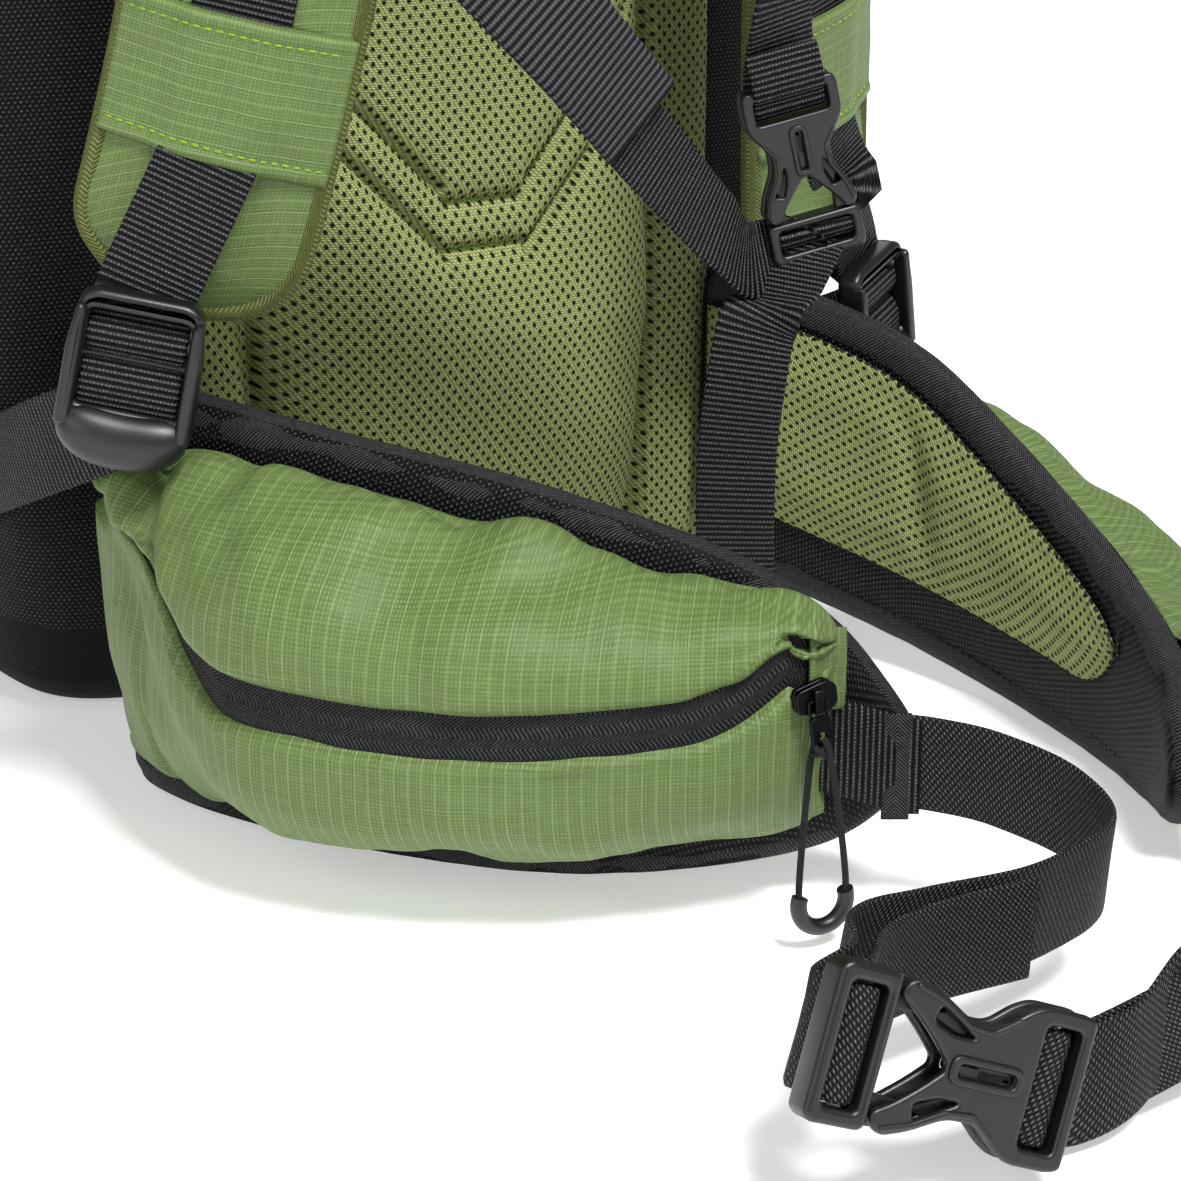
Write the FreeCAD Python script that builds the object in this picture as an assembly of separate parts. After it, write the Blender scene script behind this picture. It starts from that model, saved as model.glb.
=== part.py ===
import FreeCAD, Part
import math
import os

V = FreeCAD.Vector
LEFT, RIGHT = -1, 1

# Driving dimensions, in mm. The harness faces -Y, +Z is up, the floor is Z = 0.
BAG_W, BAG_D, BAG_H = 270.0, 220.0, 545.0
BACK_Y = -BAG_D / 2
FRONT_Y = BAG_D / 2
SKIN = 3.0
GAP = 0.3
HIP_WEB = 25.0
CHEST_WEB = 20.0
WEB_T = 1.5
LID_Z = BAG_H + 32.0
LID_TOP = LID_Z + 74.0

# The outside of the hip fins in plan, with the lower and upper edge at each station: x, y, z0, z1.
LEFT_FIN = [(-92, -118, 8, 112), (-112, -137, 3, 116), (-119, -165, 2, 117), (-97, -215, 2, 114),
            (-54, -265, 2, 104), (-12, -300, 10, 86), (20, -319, 22, 55)]
RIGHT_FIN = [(92, -118, 26, 112), (104, -145, 18, 110), (122, -185, 9, 98), (130, -228, 3, 76),
             (127, -272, 2, 60), (116, -312, 4, 48), (99, -343, 10, 38)]
# Three points of each hip pocket's zip, from its front end. The slider runs on the circle through them.
LEFT_ZIP = [V(1, -322, 65), V(-78, -299, 57), V(-138, -214, 60)]
RIGHT_ZIP = [V(121, -333, 30), V(163, -268, 33), V(152, -188, 50)]
FIN_T = 13.0
PULL_PIVOT = 3.85
HIP_PULL = 11.0

# The closed hip buckle: its centre and its own axes (along the belt, across it, out of its face).
HIP_BUCKLE_AT = V(-54, -437, 30)
HIP_BUCKLE_ALONG = V(0.91, -0.20, -0.37)
HIP_BUCKLE_FACE = V(-0.12, -0.89, 0.22)
SMALL_BUCKLE = 0.78
CHEST_BUCKLE_AT = V(59, -208, 162)
CHEST_BUCKLE_ALONG = V(-0.22, 0.05, 0.97)
CHEST_BUCKLE_FACE = V(-0.30, -0.95, 0.0)
LID_BUCKLE_AT = V(0, 119, BAG_H + 6.0)

os.makedirs("parts", exist_ok=True)


def save(name, *solids):
    shape = solids[0] if len(solids) == 1 else Part.makeCompound(list(solids))
    shape.exportStep("parts/" + name + ".step")


def unit(v):
    return V(v).normalize()


def smooth(points, steps=4):
    """Points of a Catmull-Rom curve through rows of numbers."""
    rows = [points[0]] + list(points) + [points[-1]]
    out = []
    for i in range(1, len(rows) - 2):
        for s in range(steps):
            t = s / steps
            a, b, c, d = rows[i - 1], rows[i], rows[i + 1], rows[i + 2]
            out.append(tuple(
                0.5 * (2 * q + (r - p) * t + (2 * p - 5 * q + 4 * r - s4) * t * t
                       + (3 * q - p - 3 * r + s4) * t ** 3)
                for p, q, r, s4 in zip(a, b, c, d)))
    out.append(tuple(points[-1]))
    return out


def loft(sections, ruled=True):
    wires = [Part.makePolygon([V(*p) for p in s] + [V(*s[0])]) for s in sections]
    return Part.makeLoft(wires, True, ruled)


def rounded_rect(w, d, r, z, y=0.0):
    """A rounded rectangle in plan, as a polygon with eight points to a corner."""
    points = []
    for k, (sx, sy) in enumerate([(1, 1), (-1, 1), (-1, -1), (1, -1)]):
        for i in range(8):
            a = math.radians(90 * k + 90 * i / 7)
            x = sx * (w / 2 - r) + r * math.cos(a)
            points.append((x, y + sy * (d / 2 - r) + r * math.sin(a), z))
    return points


def box(x0, x1, y0, y1, z0, z1, fillet=0.0):
    shape = Part.makeBox(x1 - x0, y1 - y0, z1 - z0, V(x0, y0, z0))
    return shape.makeFillet(fillet, shape.Edges) if fillet else shape


def ribbon(stations, width, thickness=WEB_T, steps=4):
    """Flat webbing along stations (x, y, z, wx, wy, wz); w is the direction across the webbing."""
    rows = smooth(stations, steps)
    points = [V(*r[:3]) for r in rows]
    sections = []
    for i, row in enumerate(rows):
        tangent = points[min(i + 1, len(points) - 1)] - points[max(i - 1, 0)]
        across = V(*row[3:])
        across = unit(across - tangent * (across.dot(tangent) / tangent.dot(tangent)))
        face = unit(across.cross(tangent))
        a, f = across * (width / 2), face * (thickness / 2)
        corners = ((-1, -1), (1, -1), (1, 1), (-1, 1))
        sections.append([tuple(points[i] + s * a + t * f) for s, t in corners])
    return loft(sections)


def fin_rows(fin, steps=4):
    """Stations of a hip fin with the unit normal that points out of the belt: x, y, z0, z1, nx, ny."""
    rows = smooth(fin, steps)
    side = LEFT if fin is LEFT_FIN else RIGHT
    out = []
    for i, (x, y, z0, z1) in enumerate(rows):
        x0, y0 = rows[max(i - 1, 0)][:2]
        x1, y1 = rows[min(i + 1, len(rows) - 1)][:2]
        n = unit(V(y1 - y0, x0 - x1, 0) * (-side))
        out.append((x, y, z0, z1, n.x, n.y))
    return out


def fin_wall(rows, inner, outer, low, high, chamfer, slope=1.0):
    """A soft wall that follows fin stations; inner and outer are distances out of the fin's outside."""
    sections = []
    for i, (x, y, z0, z1, nx, ny) in enumerate(rows):
        a, b = inner(i), outer(i)
        c = min(chamfer, (b - a) * 0.45)
        top = min(chamfer * slope, (b - a) * 0.8)
        zl, zh = z0 + low, z1 - high
        ring = [(a, zl), (b - c, zl), (b, zl + c), (b, zh - top), (b - top, zh), (a, zh)]
        sections.append([(x + nx * n, y + ny * n, z) for n, z in ring])
    return loft(sections)


def local(shape, at, along, face):
    """Moves a shape from its own axes (x along, z out of the face) to its place."""
    x = unit(along)
    z = unit(face - x * face.dot(x))
    y = z.cross(x)
    m = FreeCAD.Matrix(x.x, y.x, z.x, at.x, x.y, y.y, z.y, at.y, x.z, y.z, z.z, at.z, 0, 0, 0, 1)
    return shape.transformGeometry(m)


def plate(points, z0, z1):
    face = Part.Face(Part.makePolygon([V(x, y, z0) for x, y in points] + [V(*points[0], z0)]))
    return face.extrude(V(0, 0, z1 - z0))


def mirrored(points):
    return points + [(x, -y) for x, y in reversed(points)]


def buckle_female(k):
    """The receiving half: an X-shaped body with a cavity for the prongs and a webbing slot."""
    half = [(31, 17), (18, 17.5), (8, 10.5), (0, 11), (-11, 16.5), (-15, 15.5), (-16, 11), (-4, 3)]
    outline = mirrored([(k * x, k * y) for x, y in half])
    body = plate(outline, -4.5 * k, 4.5 * k)
    corners = [(-20 * k, -20 * k), (5 * k, -20 * k), (5 * k, 20 * k), (-20 * k, 20 * k)]
    cavity = plate(corners, -2.4 * k, 2.4 * k)
    slot = Part.makeBox(6 * k, 26.5 * k, 12 * k, V(20 * k, -13.25 * k, -6 * k))
    return body.cut(cavity).cut(slot)


def buckle_male(k):
    """The inserted half: a webbing frame with two spring arms."""
    frame = plate(mirrored([(k * x, k * y) for x, y in [(-17, 17), (-29, 17), (-31, 15)]]), -4 * k, 4 * k)
    slot = Part.makeBox(6 * k, 26.5 * k, 12 * k, V(-26.5 * k, -13.25 * k, -6 * k))
    body = frame.cut(slot)
    for s in (1, -1):
        outline = [(-17.5, 9), (-17.5, 13.5), (-6, 14), (2.5, 9.5), (3.5, 6.5), (-2, 7)]
        arm = plate([(k * x, s * k * y) for x, y in outline], -1.9 * k, 1.9 * k)
        body = body.fuse(arm)
    return body


def ladder_lock():
    """A webbing adjuster: a frame with two windows and a thick pull lip at its lower end."""
    frame = plate(mirrored([(20, 14), (18, 16.5), (-10, 17), (-20, 15), (-23, 9)]), -3.5, 3.5)
    lip = Part.makeCylinder(5.0, 24, V(-18, -12, 1.5), V(0, 1, 0))
    windows = [Part.makeBox(7.0, 26.5, 20, V(x, -13.25, -10)) for x in (8.5, -9.5)]
    return frame.fuse(lip).cut(windows[0]).cut(windows[1])


def zip_slider():
    """A zip slider: a low wedge with a bridge that holds the pull."""
    body = plate([(-5, -3), (4, -4.2), (6, -2.5), (6, 2.5), (4, 4.2), (-5, 3)], 0.0, 3.2)
    bridge = Part.makeBox(2.4, 6.4, 2.4, V(-1.2, -3.2, 3.2)).cut(Part.makeBox(4, 4, 1.3, V(-2, -2, 3.2)))
    return body.fuse(bridge)


def zip_pull(length):
    """A flat pull tab, along +X from the pin that passes under the slider's bridge."""
    pin = Part.makeBox(0.7, 5.4, 0.7, V(-0.35, -2.7, PULL_PIVOT - 0.35))
    arms = [Part.makeBox(5.2, 0.9, 1.0, V(-0.35, s * 2.25 - 0.45, PULL_PIVOT - 0.35)) for s in (-1, 1)]
    tab = plate([(4.4, -2.7), (length, -2.7), (length + 1.5, 0), (length, 2.7), (4.4, 2.7)],
                PULL_PIVOT - 0.35, PULL_PIVOT + 0.95)
    hole = Part.makeCylinder(1.4, 4, V(length - 1.6, 0, PULL_PIVOT - 2))
    return pin.fuse(arms).fuse(tab).cut(hole)


# The bag

def bag_shell():
    outer = loft([rounded_rect(248, 198, 42, 4.3), rounded_rect(BAG_W, BAG_D, 50, 42),
                  rounded_rect(BAG_W, BAG_D, 50, 420), rounded_rect(258, 208, 50, BAG_H)])
    inner = loft([rounded_rect(242, 192, 39, 8.0), rounded_rect(BAG_W - 2 * SKIN, BAG_D - 2 * SKIN, 47, 43),
                  rounded_rect(BAG_W - 2 * SKIN, BAG_D - 2 * SKIN, 47, 420), rounded_rect(252, 202, 47, BAG_H + 1)])
    save("bag_shell", outer.cut(inner))
    save("base_panel", loft([rounded_rect(238, 188, 40, 0.0), rounded_rect(246, 196, 42, 4.0)]))


def frame_parts():
    inside = BACK_Y + SKIN + GAP
    save("frame_sheet", box(-84, 84, inside, inside + 2.0, 48, 416))
    stay_y = inside + 2.0 + GAP
    stays = [box(s * 45 - 6, s * 45 + 6, stay_y, stay_y + 3.0, 50, 414, 0.8) for s in (LEFT, RIGHT)]
    save("frame_stays", *stays)


def back_pad():
    """The mesh back pad: side wings, and a full centre that swells over the lumbar."""
    sections = []
    for z, half, wing, swell, crown in [(20, 60, 84, 14, 17), (48, 60, 86, 24, 29), (110, 62, 88, 30, 39),
                                        (150, 62, 88, 27, 34), (240, 60, 88, 23, 27), (340, 54, 84, 21, 25),
                                        (418, 48, 76, 18, 20), (440, 40, 66, 9, 10)]:
        ring = [(-wing, 0), (-wing, 8), (-half - 6, 10), (-half + 2, swell * 0.8), (-half + 14, swell),
                (-20, crown), (20, crown), (half - 14, swell), (half - 2, swell * 0.8), (half + 6, 10),
                (wing, 8), (wing, 0)]
        sections.append([(x, BACK_Y - GAP - y, z) for x, y in ring])
    save("back_pad", loft(sections))


def cord_ring(w, d, r, z, y, radius):
    """A round cord round a rounded rectangle in plan."""
    hx, hy = w / 2, d / 2
    q = r * math.sqrt(0.5)
    edges = []
    for sx, sy in ((1, 1), (-1, 1), (-1, -1), (1, -1)):
        cx, cy = sx * (hx - r), y + sy * (hy - r)
        ends = [V(sx * hx, cy, z), V(cx, y + sy * hy, z)]
        if sx * sy < 0:
            ends.reverse()
        edges.append(Part.Arc(ends[0], V(cx + sx * q, cy + sy * q, z), ends[1]).toShape())
        last = ends[1]
        nxt = {(1, 1): V(-(hx - r), y + hy, z), (-1, 1): V(-hx, y - (hy - r), z),
               (-1, -1): V(hx - r, y - hy, z), (1, -1): V(hx, y + hy - r, z)}[(sx, sy)]
        edges.append(Part.makeLine(last, nxt))
    start = edges[0].Vertexes[0].Point
    circle = Part.Wire([Part.makeCircle(radius, start, V(0, 1, 0))])
    return Part.Wire(edges).makePipeShell([circle], True, False)


def collar_parts():
    outer = loft([rounded_rect(250, 200, 47, BAG_H + GAP), rounded_rect(236, 184, 46, BAG_H + 26)])
    inner = loft([rounded_rect(246, 196, 45, BAG_H), rounded_rect(232, 180, 44, BAG_H + 27)])
    save("collar", outer.cut(inner))
    cord_z = BAG_H + 18.0
    lock_y = 104.5
    save("drawcord", cord_ring(248, 202, 47, cord_z, lock_y - 101.0, 1.5))
    at = V(0, lock_y, cord_z - 9.0)
    body = Part.makeCylinder(6.4, 14.0, at)
    bore = Part.makeCylinder(4.6, 13.0, at + V(0, 0, 1.5))
    hole = Part.makeCylinder(2.3, 20.0, at + V(-10, 0, 9), V(1, 0, 0))
    save("cord_lock_body", body.cut(bore).cut(hole))
    button = Part.makeCylinder(4.4, 12.0, at + V(0, 0, 6.0))
    slot = Part.makeBox(12, 4.2, 7.2, at + V(-6, -2.1, 6.8))
    save("cord_lock_button", button.cut(slot))
    helix = Part.makeHelix(1.2, 3.4, 3.2)
    wire = Part.Wire(helix.Edges)
    circle = Part.Wire([Part.makeCircle(0.3, V(3.2, 0, 0), V(0, 1, 0.06))])
    spring = wire.makePipeShell([circle], True, True)
    spring.translate(at + V(0, 0, 1.95))
    save("cord_lock_spring", spring)


def lid_parts():
    body = loft([rounded_rect(250, 214, 50, LID_Z, 5), rounded_rect(268, 226, 55, LID_Z + 14, 5),
                 rounded_rect(268, 226, 58, LID_Z + 46, 5), rounded_rect(246, 204, 62, LID_Z + 62, 5),
                 rounded_rect(190, 150, 60, LID_TOP, 5)])
    save("lid", body)
    face_y = 5 + 113 + GAP
    zip_z = LID_Z + 32
    save("lid_zip", box(-62, 62, face_y, face_y + 1.4, zip_z - 12, zip_z + 12))
    seat = V(52, face_y + 1.4 + GAP, zip_z)
    save("lid_slider", local(zip_slider(), seat, V(1, 0, 0), V(0, 1, 0)))
    save("lid_pull", local(zip_pull(20.0), seat, V(0, 0, -1), V(0, 1, 0)))


def lid_strap():
    y = LID_BUCKLE_AT.y
    along, face = V(0, 0, -1), V(0, 1, 0)
    save("lid_buckle_female", local(buckle_female(SMALL_BUCKLE), LID_BUCKLE_AT, along, face))
    save("lid_buckle_male", local(buckle_male(SMALL_BUCKLE), LID_BUCKLE_AT, along, face))
    z = LID_BUCKLE_AT.z
    save("lid_strap_upper", ribbon([(0, 119.0, z + 25.5, 1, 0, 0), (0, 119.8, z + 32, 1, 0, 0),
                                    (0, 121.0, z + 40, 1, 0, 0), (0, 121.5, z + 47, 1, 0, 0)], CHEST_WEB))
    save("lid_strap_lower", ribbon([(0, 119.0, z - 25.5, 1, 0, 0), (0, 116.5, z - 45, 1, 0, 0),
                                    (0, 113.5, z - 80, 1, 0, 0), (0, 111.4, z - 140, 1, 0, 0),
                                    (0, 111.4, z - 170, 1, 0, 0)], CHEST_WEB))


def front_pocket_parts():
    y0 = FRONT_Y + GAP
    outline = [(-1, 0), (1, 0), (0.97, 0.6), (0.86, 1), (-0.86, 1), (-0.97, 0.6)]
    levels = [(50, 92, 8), (62, 96, 28), (180, 98, 36), (290, 96, 34), (330, 92, 26), (345, 84, 6)]
    save("front_pocket", loft([[(x * w, y0 + y * d, z) for x, y in outline] for z, w, d in levels]))
    zip_y = y0 + 34 + GAP + 1.8
    zip_z = 268
    save("front_zip", box(-78, 78, zip_y, zip_y + 1.4, zip_z - 12, zip_z + 12))
    seat = V(66, zip_y + 1.4 + GAP, zip_z)
    save("front_slider", local(zip_slider(), seat, V(1, 0, 0), V(0, 1, 0)))
    save("front_pull", local(zip_pull(20.0), seat, V(0, 0, -1), V(0, 1, 0)))


def side_pocket(side):
    """An open stretch pocket for a bottle: two ends and an outer wall, sewn flat to the bag's side."""
    x = side * (BAG_W / 2 + GAP)

    def ring(depth, inset, z):
        corner = x + side * depth * 0.75
        return [(x, -48 + inset, z), (corner, -46 + inset, z), (x + side * depth, -30 + inset, z),
                (x + side * depth, 50 - inset, z), (corner, 66 - inset, z), (x, 68 - inset, z)]

    outer = loft([ring(18, 0, 46), ring(40, 0, 62), ring(44, 0, 178)])
    inner = loft([ring(14, 2.5, 49), ring(37.5, 2.5, 64), ring(41.5, 2.5, 179)])
    save("side_pocket_" + ("left" if side < 0 else "right"), outer.cut(inner))


def compression_parts():
    straps, buckles = [], []
    for side in (LEFT, RIGHT):
        x = side * (BAG_W / 2 + GAP + WEB_T / 2)
        for z in (235, 380):
            straps.append(ribbon([(x, -62, z, 0, 0, 1), (x, 0, z, 0, 0, 1), (x, 60, z, 0, 0, 1)], CHEST_WEB))
            seat = V(x + side * (WEB_T / 2 + GAP + 3), 20, z)
            frame = box(-13, 13, -13, 13, -2.5, 2.5, 1.2)
            windows = [Part.makeBox(6, 21, 12, V(a, -10.5, -6)) for a in (-9.5, 3.5)]
            buckles.append(local(frame.cut(windows[0]).cut(windows[1]), seat, V(0, 1, 0), V(side, 0, 0)))
    save("compression_straps", *straps)
    save("compression_buckles", *buckles)


def haul_loop():
    z = BAG_H - 10.0
    rows = [(-40, -108.5, z), (-39, -120, z - 1), (-26, -136, z - 3), (0, -141, z - 4),
            (26, -136, z - 3), (39, -120, z - 1), (40, -108.5, z)]
    save("haul_loop", ribbon([r + (0, 0, 1) for r in rows], 14.0, 3.0))


# The shoulder harness

STRAPS = {
    LEFT: [(-50, -121, 472, 0.95, -0.30), (-57, -148, 436, 0.93, -0.35), (-68, -180, 385, 0.9, -0.42),
           (-78, -194, 320, 0.88, -0.46), (-87, -193, 250, 0.87, -0.5), (-95, -186, 202, 0.87, -0.5),
           (-105, -178, 157, 0.87, -0.5)],
    RIGHT: [(50, -121, 472, 0.95, 0.30), (57, -147, 436, 0.93, 0.35), (68, -173, 385, 0.91, 0.40),
            (77, -182, 320, 0.91, 0.42), (84, -174, 250, 0.91, 0.42), (90, -163, 195, 0.91, 0.42),
            (98, -152, 135, 0.91, 0.42)],
}


def strap_rows(side):
    """The middle of a shoulder strap from the yoke to its lower end, with its direction across."""
    return [row + (0,) for row in STRAPS[side]]


def strap_face(side, offset, start, end, width, thickness=WEB_T):
    """A layer that lies on a strap's outer face, offset out from its middle."""
    rows = smooth(strap_rows(side), 3)[start:end]
    lifted = []
    for i, (x, y, z, wx, wy, wz) in enumerate(rows):
        x0, y0, z0 = rows[max(i - 1, 0)][:3]
        x1, y1, z1 = rows[min(i + 1, len(rows) - 1)][:3]
        out = unit(V(wx, wy, 0).cross(V(x1 - x0, y1 - y0, z1 - z0)))
        out = out * (-1 if out.y > 0 else 1)
        lifted.append((x + out.x * offset, y + out.y * offset, z + out.z * offset, wx, wy, wz))
    return ribbon(lifted, width, thickness, 1)


def shoulder_parts():
    web_offset = 6.0 + GAP + WEB_T / 2
    for side, name in ((LEFT, "left"), (RIGHT, "right")):
        save("shoulder_pad_" + name, ribbon(strap_rows(side), 56.0, 12.0, 3))
    save("shoulder_webbings", *[strap_face(s, web_offset, 6, 19, HIP_WEB) for s in (LEFT, RIGHT)])
    lifters = []
    for s in (LEFT, RIGHT):
        lifters.append(ribbon([(s * 67, -195, 384, 0.9, s * 0.42, 0), (s * 71, -164, 440, 0.97, s * 0.2, 0),
                               (s * 73, -128, 505, 1, 0, 0), (s * 74, -107, 537, 1, 0, 0)], CHEST_WEB, WEB_T, 2))
    save("load_lifters", *lifters)


LOWER_WEBS = {
    LEFT: [(-127, -187, 133, 0.3, -0.2), (-135, -182, 116, 0.2, -0.3), (-143, -158, 101, 0.1, -0.2),
           (-145.5, -128, 88, 0, 0), (-142, -96, 76, 0, 0), (-138, -62, 66, 0, 0)],
    RIGHT: [(131, -136, 99, 0.3, 0.2), (138, -129, 93, 0.1, 0.2), (145, -115, 86, 0, 0.1),
            (144.5, -98, 78, 0, 0), (140.5, -80, 71, 0, 0), (138, -60, 66, 0, 0)],
}


def ladder_place(side):
    at = V(-130, -196, 129) if side < 0 else V(128, -146, 97)
    return at, V(-side * 0.18, -0.10, 0.97), V(side * 0.48, -0.87, 0)


def lower_harness():
    webs, tabs = [], []
    for side, name in ((LEFT, "left"), (RIGHT, "right")):
        at, along, face = ladder_place(side)
        save("ladder_lock_" + name, local(ladder_lock(), at, along, face))
        webs.append(ribbon([row + (side,) for row in LOWER_WEBS[side]], HIP_WEB))
        x = side * (BAG_W / 2 + GAP)
        corners = [V(x, -100, 88), V(x, -52, 72), V(x, -56, 47), V(x, -96, 60)]
        tab = Part.Face(Part.makePolygon(corners + corners[:1]))
        tabs.append(tab.extrude(V(side * 1.4, 0, 0)))
    save("lower_webbings", *webs)
    save("strap_tabs", *tabs)


def chest_strap():
    for name, half in (("female", buckle_female), ("male", buckle_male)):
        buckle = local(half(SMALL_BUCKLE), CHEST_BUCKLE_AT, CHEST_BUCKLE_ALONG, CHEST_BUCKLE_FACE)
        save("chest_buckle_" + name, buckle)
    along = unit(CHEST_BUCKLE_ALONG)
    across = tuple(unit(along.cross(CHEST_BUCKLE_FACE)))

    def at(x):
        """A webbing station at x along the chest buckle."""
        return tuple(CHEST_BUCKLE_AT + along * x) + across

    save("chest_strap_right", ribbon([at(25.5), at(31), (50, -211, 210, 0.85, 0.2, 0.2), (56, -209, 231, 0.87, 0.4, 0.1),
                                      (66, -202, 252, 0.9, 0.42, 0), (76, -193, 274, 0.9, 0.42, 0)], CHEST_WEB))
    save("chest_strap_left", ribbon([(-84, -207.5, 262, 0.55, -0.32, 0.78), (-63, -219, 244, 0.55, -0.25, 0.8),
                                     (-24, -224, 205, 0.6, 0, 0.75), (10, -214, 172, 0.5, 0, 0.8),
                                     (38, -207, 142, 0.3, 0.2, 0.9)], CHEST_WEB))
    save("chest_sleeve", ribbon([(-46, -226.5, 230, 0.55, -0.2, 0.8), (-24, -228, 205, 0.6, 0, 0.75),
                                 (-2, -223.0, 184, 0.5, 0, 0.8)], 24.0, 1.6))
    save("chest_tail", ribbon([at(-25.5), at(-35), (64, -212, 116, 0.87, -0.4, 0.1), (56, -214, 98, 0.85, -0.5, 0),
                               (50, -214, 78, 0.8, -0.6, 0), (48, -213, 48, 0.8, -0.6, 0)], CHEST_WEB))


# The hip belt

def fin(name, rows):
    save("hip_fin_" + name, fin_wall(rows, lambda i: -FIN_T, lambda i: 0.0, 0.0, 0.0, 4.0))


def arc_through(a, b, c):
    """The centre, axis and radius of the circle through three points; it turns about the axis from a to b."""
    u, v = b - a, c - a
    n = u.cross(v)
    centre = a + (n.cross(u) * v.dot(v) + v.cross(n) * u.dot(u)) * (1.0 / (2 * n.dot(n)))
    return centre, unit(n), (a - centre).Length


def arc_over(arc, row):
    """The point of a zip's circle over a fin station, and how far out of the fin it is."""
    centre, axis, radius = arc
    x, y, z0, z1, nx, ny = row
    low, high = 0.0, 80.0
    for _ in range(40):
        n = (low + high) / 2
        px, py = x + nx * n, y + ny * n
        z = centre.z - ((px - centre.x) * axis.x + (py - centre.y) * axis.y) / axis.z
        inside = (V(px, py, z) - centre).Length < radius
        low, high = (n, high) if inside else (low, n)
    return V(px, py, z), n


def pocket_depths(rows, arc):
    """How far the pocket swells at each station: up to the zip's circle, with a slanted wall at the back end."""
    full = [arc_over(arc, row)[1] - 1.2 for row in rows]
    return [max(3.0, min(d, 4.0 + 8.5 * i)) for i, d in enumerate(full)]


def pocket(name, rows, arc):
    depth = pocket_depths(rows, arc)
    save("hip_pocket_" + name, fin_wall(rows, lambda i: GAP, lambda i: depth[i], 4.0, 9.0, 9.0, 2.5))


def zip_points(rows, arc):
    """The middle line of a pocket's zip, on the outside of the pocket."""
    return [arc_over(arc, row)[0] for row in rows]


def zip_tape(name, points):
    save("hip_zip_" + name, ribbon([tuple(p) + (0, 0, 1) for p in points[4:]], 11.0, 1.0, 1))


def hip_zip(name, points):
    """The slider and its pull at the front end of a hip pocket's zip."""
    at, before = points[-2], points[-4]
    along = unit(at - before)
    face = unit(V(along.y, -along.x, 0))
    face = face * (1 if face.dot(at - V(0, -200, at.z)) > 0 else -1)
    seat = at + face * (0.7 + GAP)
    save("hip_slider_" + name, local(zip_slider(), seat, along, face))
    down = along.cross(face)
    down = down * (-1 if down.z > 0 else 1)
    save("hip_pull_" + name, local(zip_pull(HIP_PULL), seat, down, face))
    return seat, face, down


def cord_and_ring(seat, face, down):
    """The loop of thin cord on the left pull, and the open tube that it runs through."""
    hole = seat + face * (PULL_PIVOT + 0.3) + down * (HIP_PULL - 1.6)
    across = unit(V(0, 0, 1).cross(face))
    radius, rest_z, out = 6.6, 12.0, 2.6
    drop = hole.z - rest_z

    def place(shape):
        return local(shape, V(hole.x, hole.y, rest_z) + face * out, across, face)

    arc = Part.makeCircle(radius, V(0, 0, 0), V(0, 0, 1), 160, 380)
    first, last = arc.Vertexes[0].Point, arc.Vertexes[1].Point
    heading = arc.tangentAt(arc.FirstParameter)
    circles = [Part.Wire([Part.makeCircle(r, first, heading)]) for r in (1.7, 1.0, 0.85)]
    tube, bore, core = [Part.Wire([arc]).makePipeShell([c], True, True) for c in circles]
    legs = Part.BSplineCurve()
    legs.interpolate([last, V(4.0, drop * 0.55, 0), V(0.9, drop - 2.2, 0), V(0, drop, -out + 1.2),
                      V(0, drop, -out - 1.2), V(-0.9, drop - 2.2, -2 * out), V(-4.0, drop * 0.55, -out), first])
    start = Part.Wire([Part.makeCircle(0.85, last, legs.tangent(legs.FirstParameter)[0])])
    rope = Part.Wire([legs.toShape()]).makePipeShell([start], True, True)
    save("cord_loop", place(rope.fuse(core)))
    save("open_ring", place(tube.cut(bore)))


def hip_webbing():
    along = unit(HIP_BUCKLE_ALONG)
    face = unit(HIP_BUCKLE_FACE - along * HIP_BUCKLE_FACE.dot(along))
    across = face.cross(along)

    def at(x, z):
        """A webbing station at x along the buckle and z out of its face."""
        return tuple(HIP_BUCKLE_AT + along * x + face * z) + tuple(across)

    save("hip_buckle_female", local(buckle_female(1.0), HIP_BUCKLE_AT, along, face))
    save("hip_buckle_male", local(buckle_male(1.0), HIP_BUCKLE_AT, along, face))
    save("hip_webbing_left", ribbon([(24, -325, 39, 0, 0, 1), (35, -337, 37, 0, 0, 1), (43, -356, 33, 0, 0, 1),
                                     (36, -377, 30, 0.1, 0, 1), (10, -388, 30, 0.1, 0, 1),
                                     (-24, -390, 32, 0.1, 0, 1)], HIP_WEB, WEB_T, 5))
    save("hip_webbing_tail", ribbon([at(-23.5, 3), at(-23.5, -2), at(-25, -7), (-82, -418, 37, 0.3, 0, 1),
                                     (-73, -402, 36, 0.2, 0, 1), (-52, -392, 34, 0.1, 0, 1),
                                     (-28, -390, 32.5, 0.1, 0, 1)], HIP_WEB, WEB_T, 4))
    save("hip_webbing_right", ribbon([at(23, 3), at(23, -2), at(24.5, -6.5), at(31, -8.5), (0, -437, 22, 0, 0.1, 1),
                                      (48, -430, 22, 0, 0.1, 1), (84, -408, 23, 0, 0, 1), (102, -374, 25, 0, 0, 1),
                                      (98, -348, 25, 0, 0, 1)], HIP_WEB, WEB_T, 4))


def hip_anchors(left, right):
    """The sewn patch and webbing keeper at the end of each fin."""
    patches = []
    for rows in (left, right):
        patches.append(fin_wall(rows[-2:], lambda i: GAP, lambda i: GAP + 2.4, 6.0, 8.0, 0.8))
    save("hip_anchors", *patches)


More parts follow.
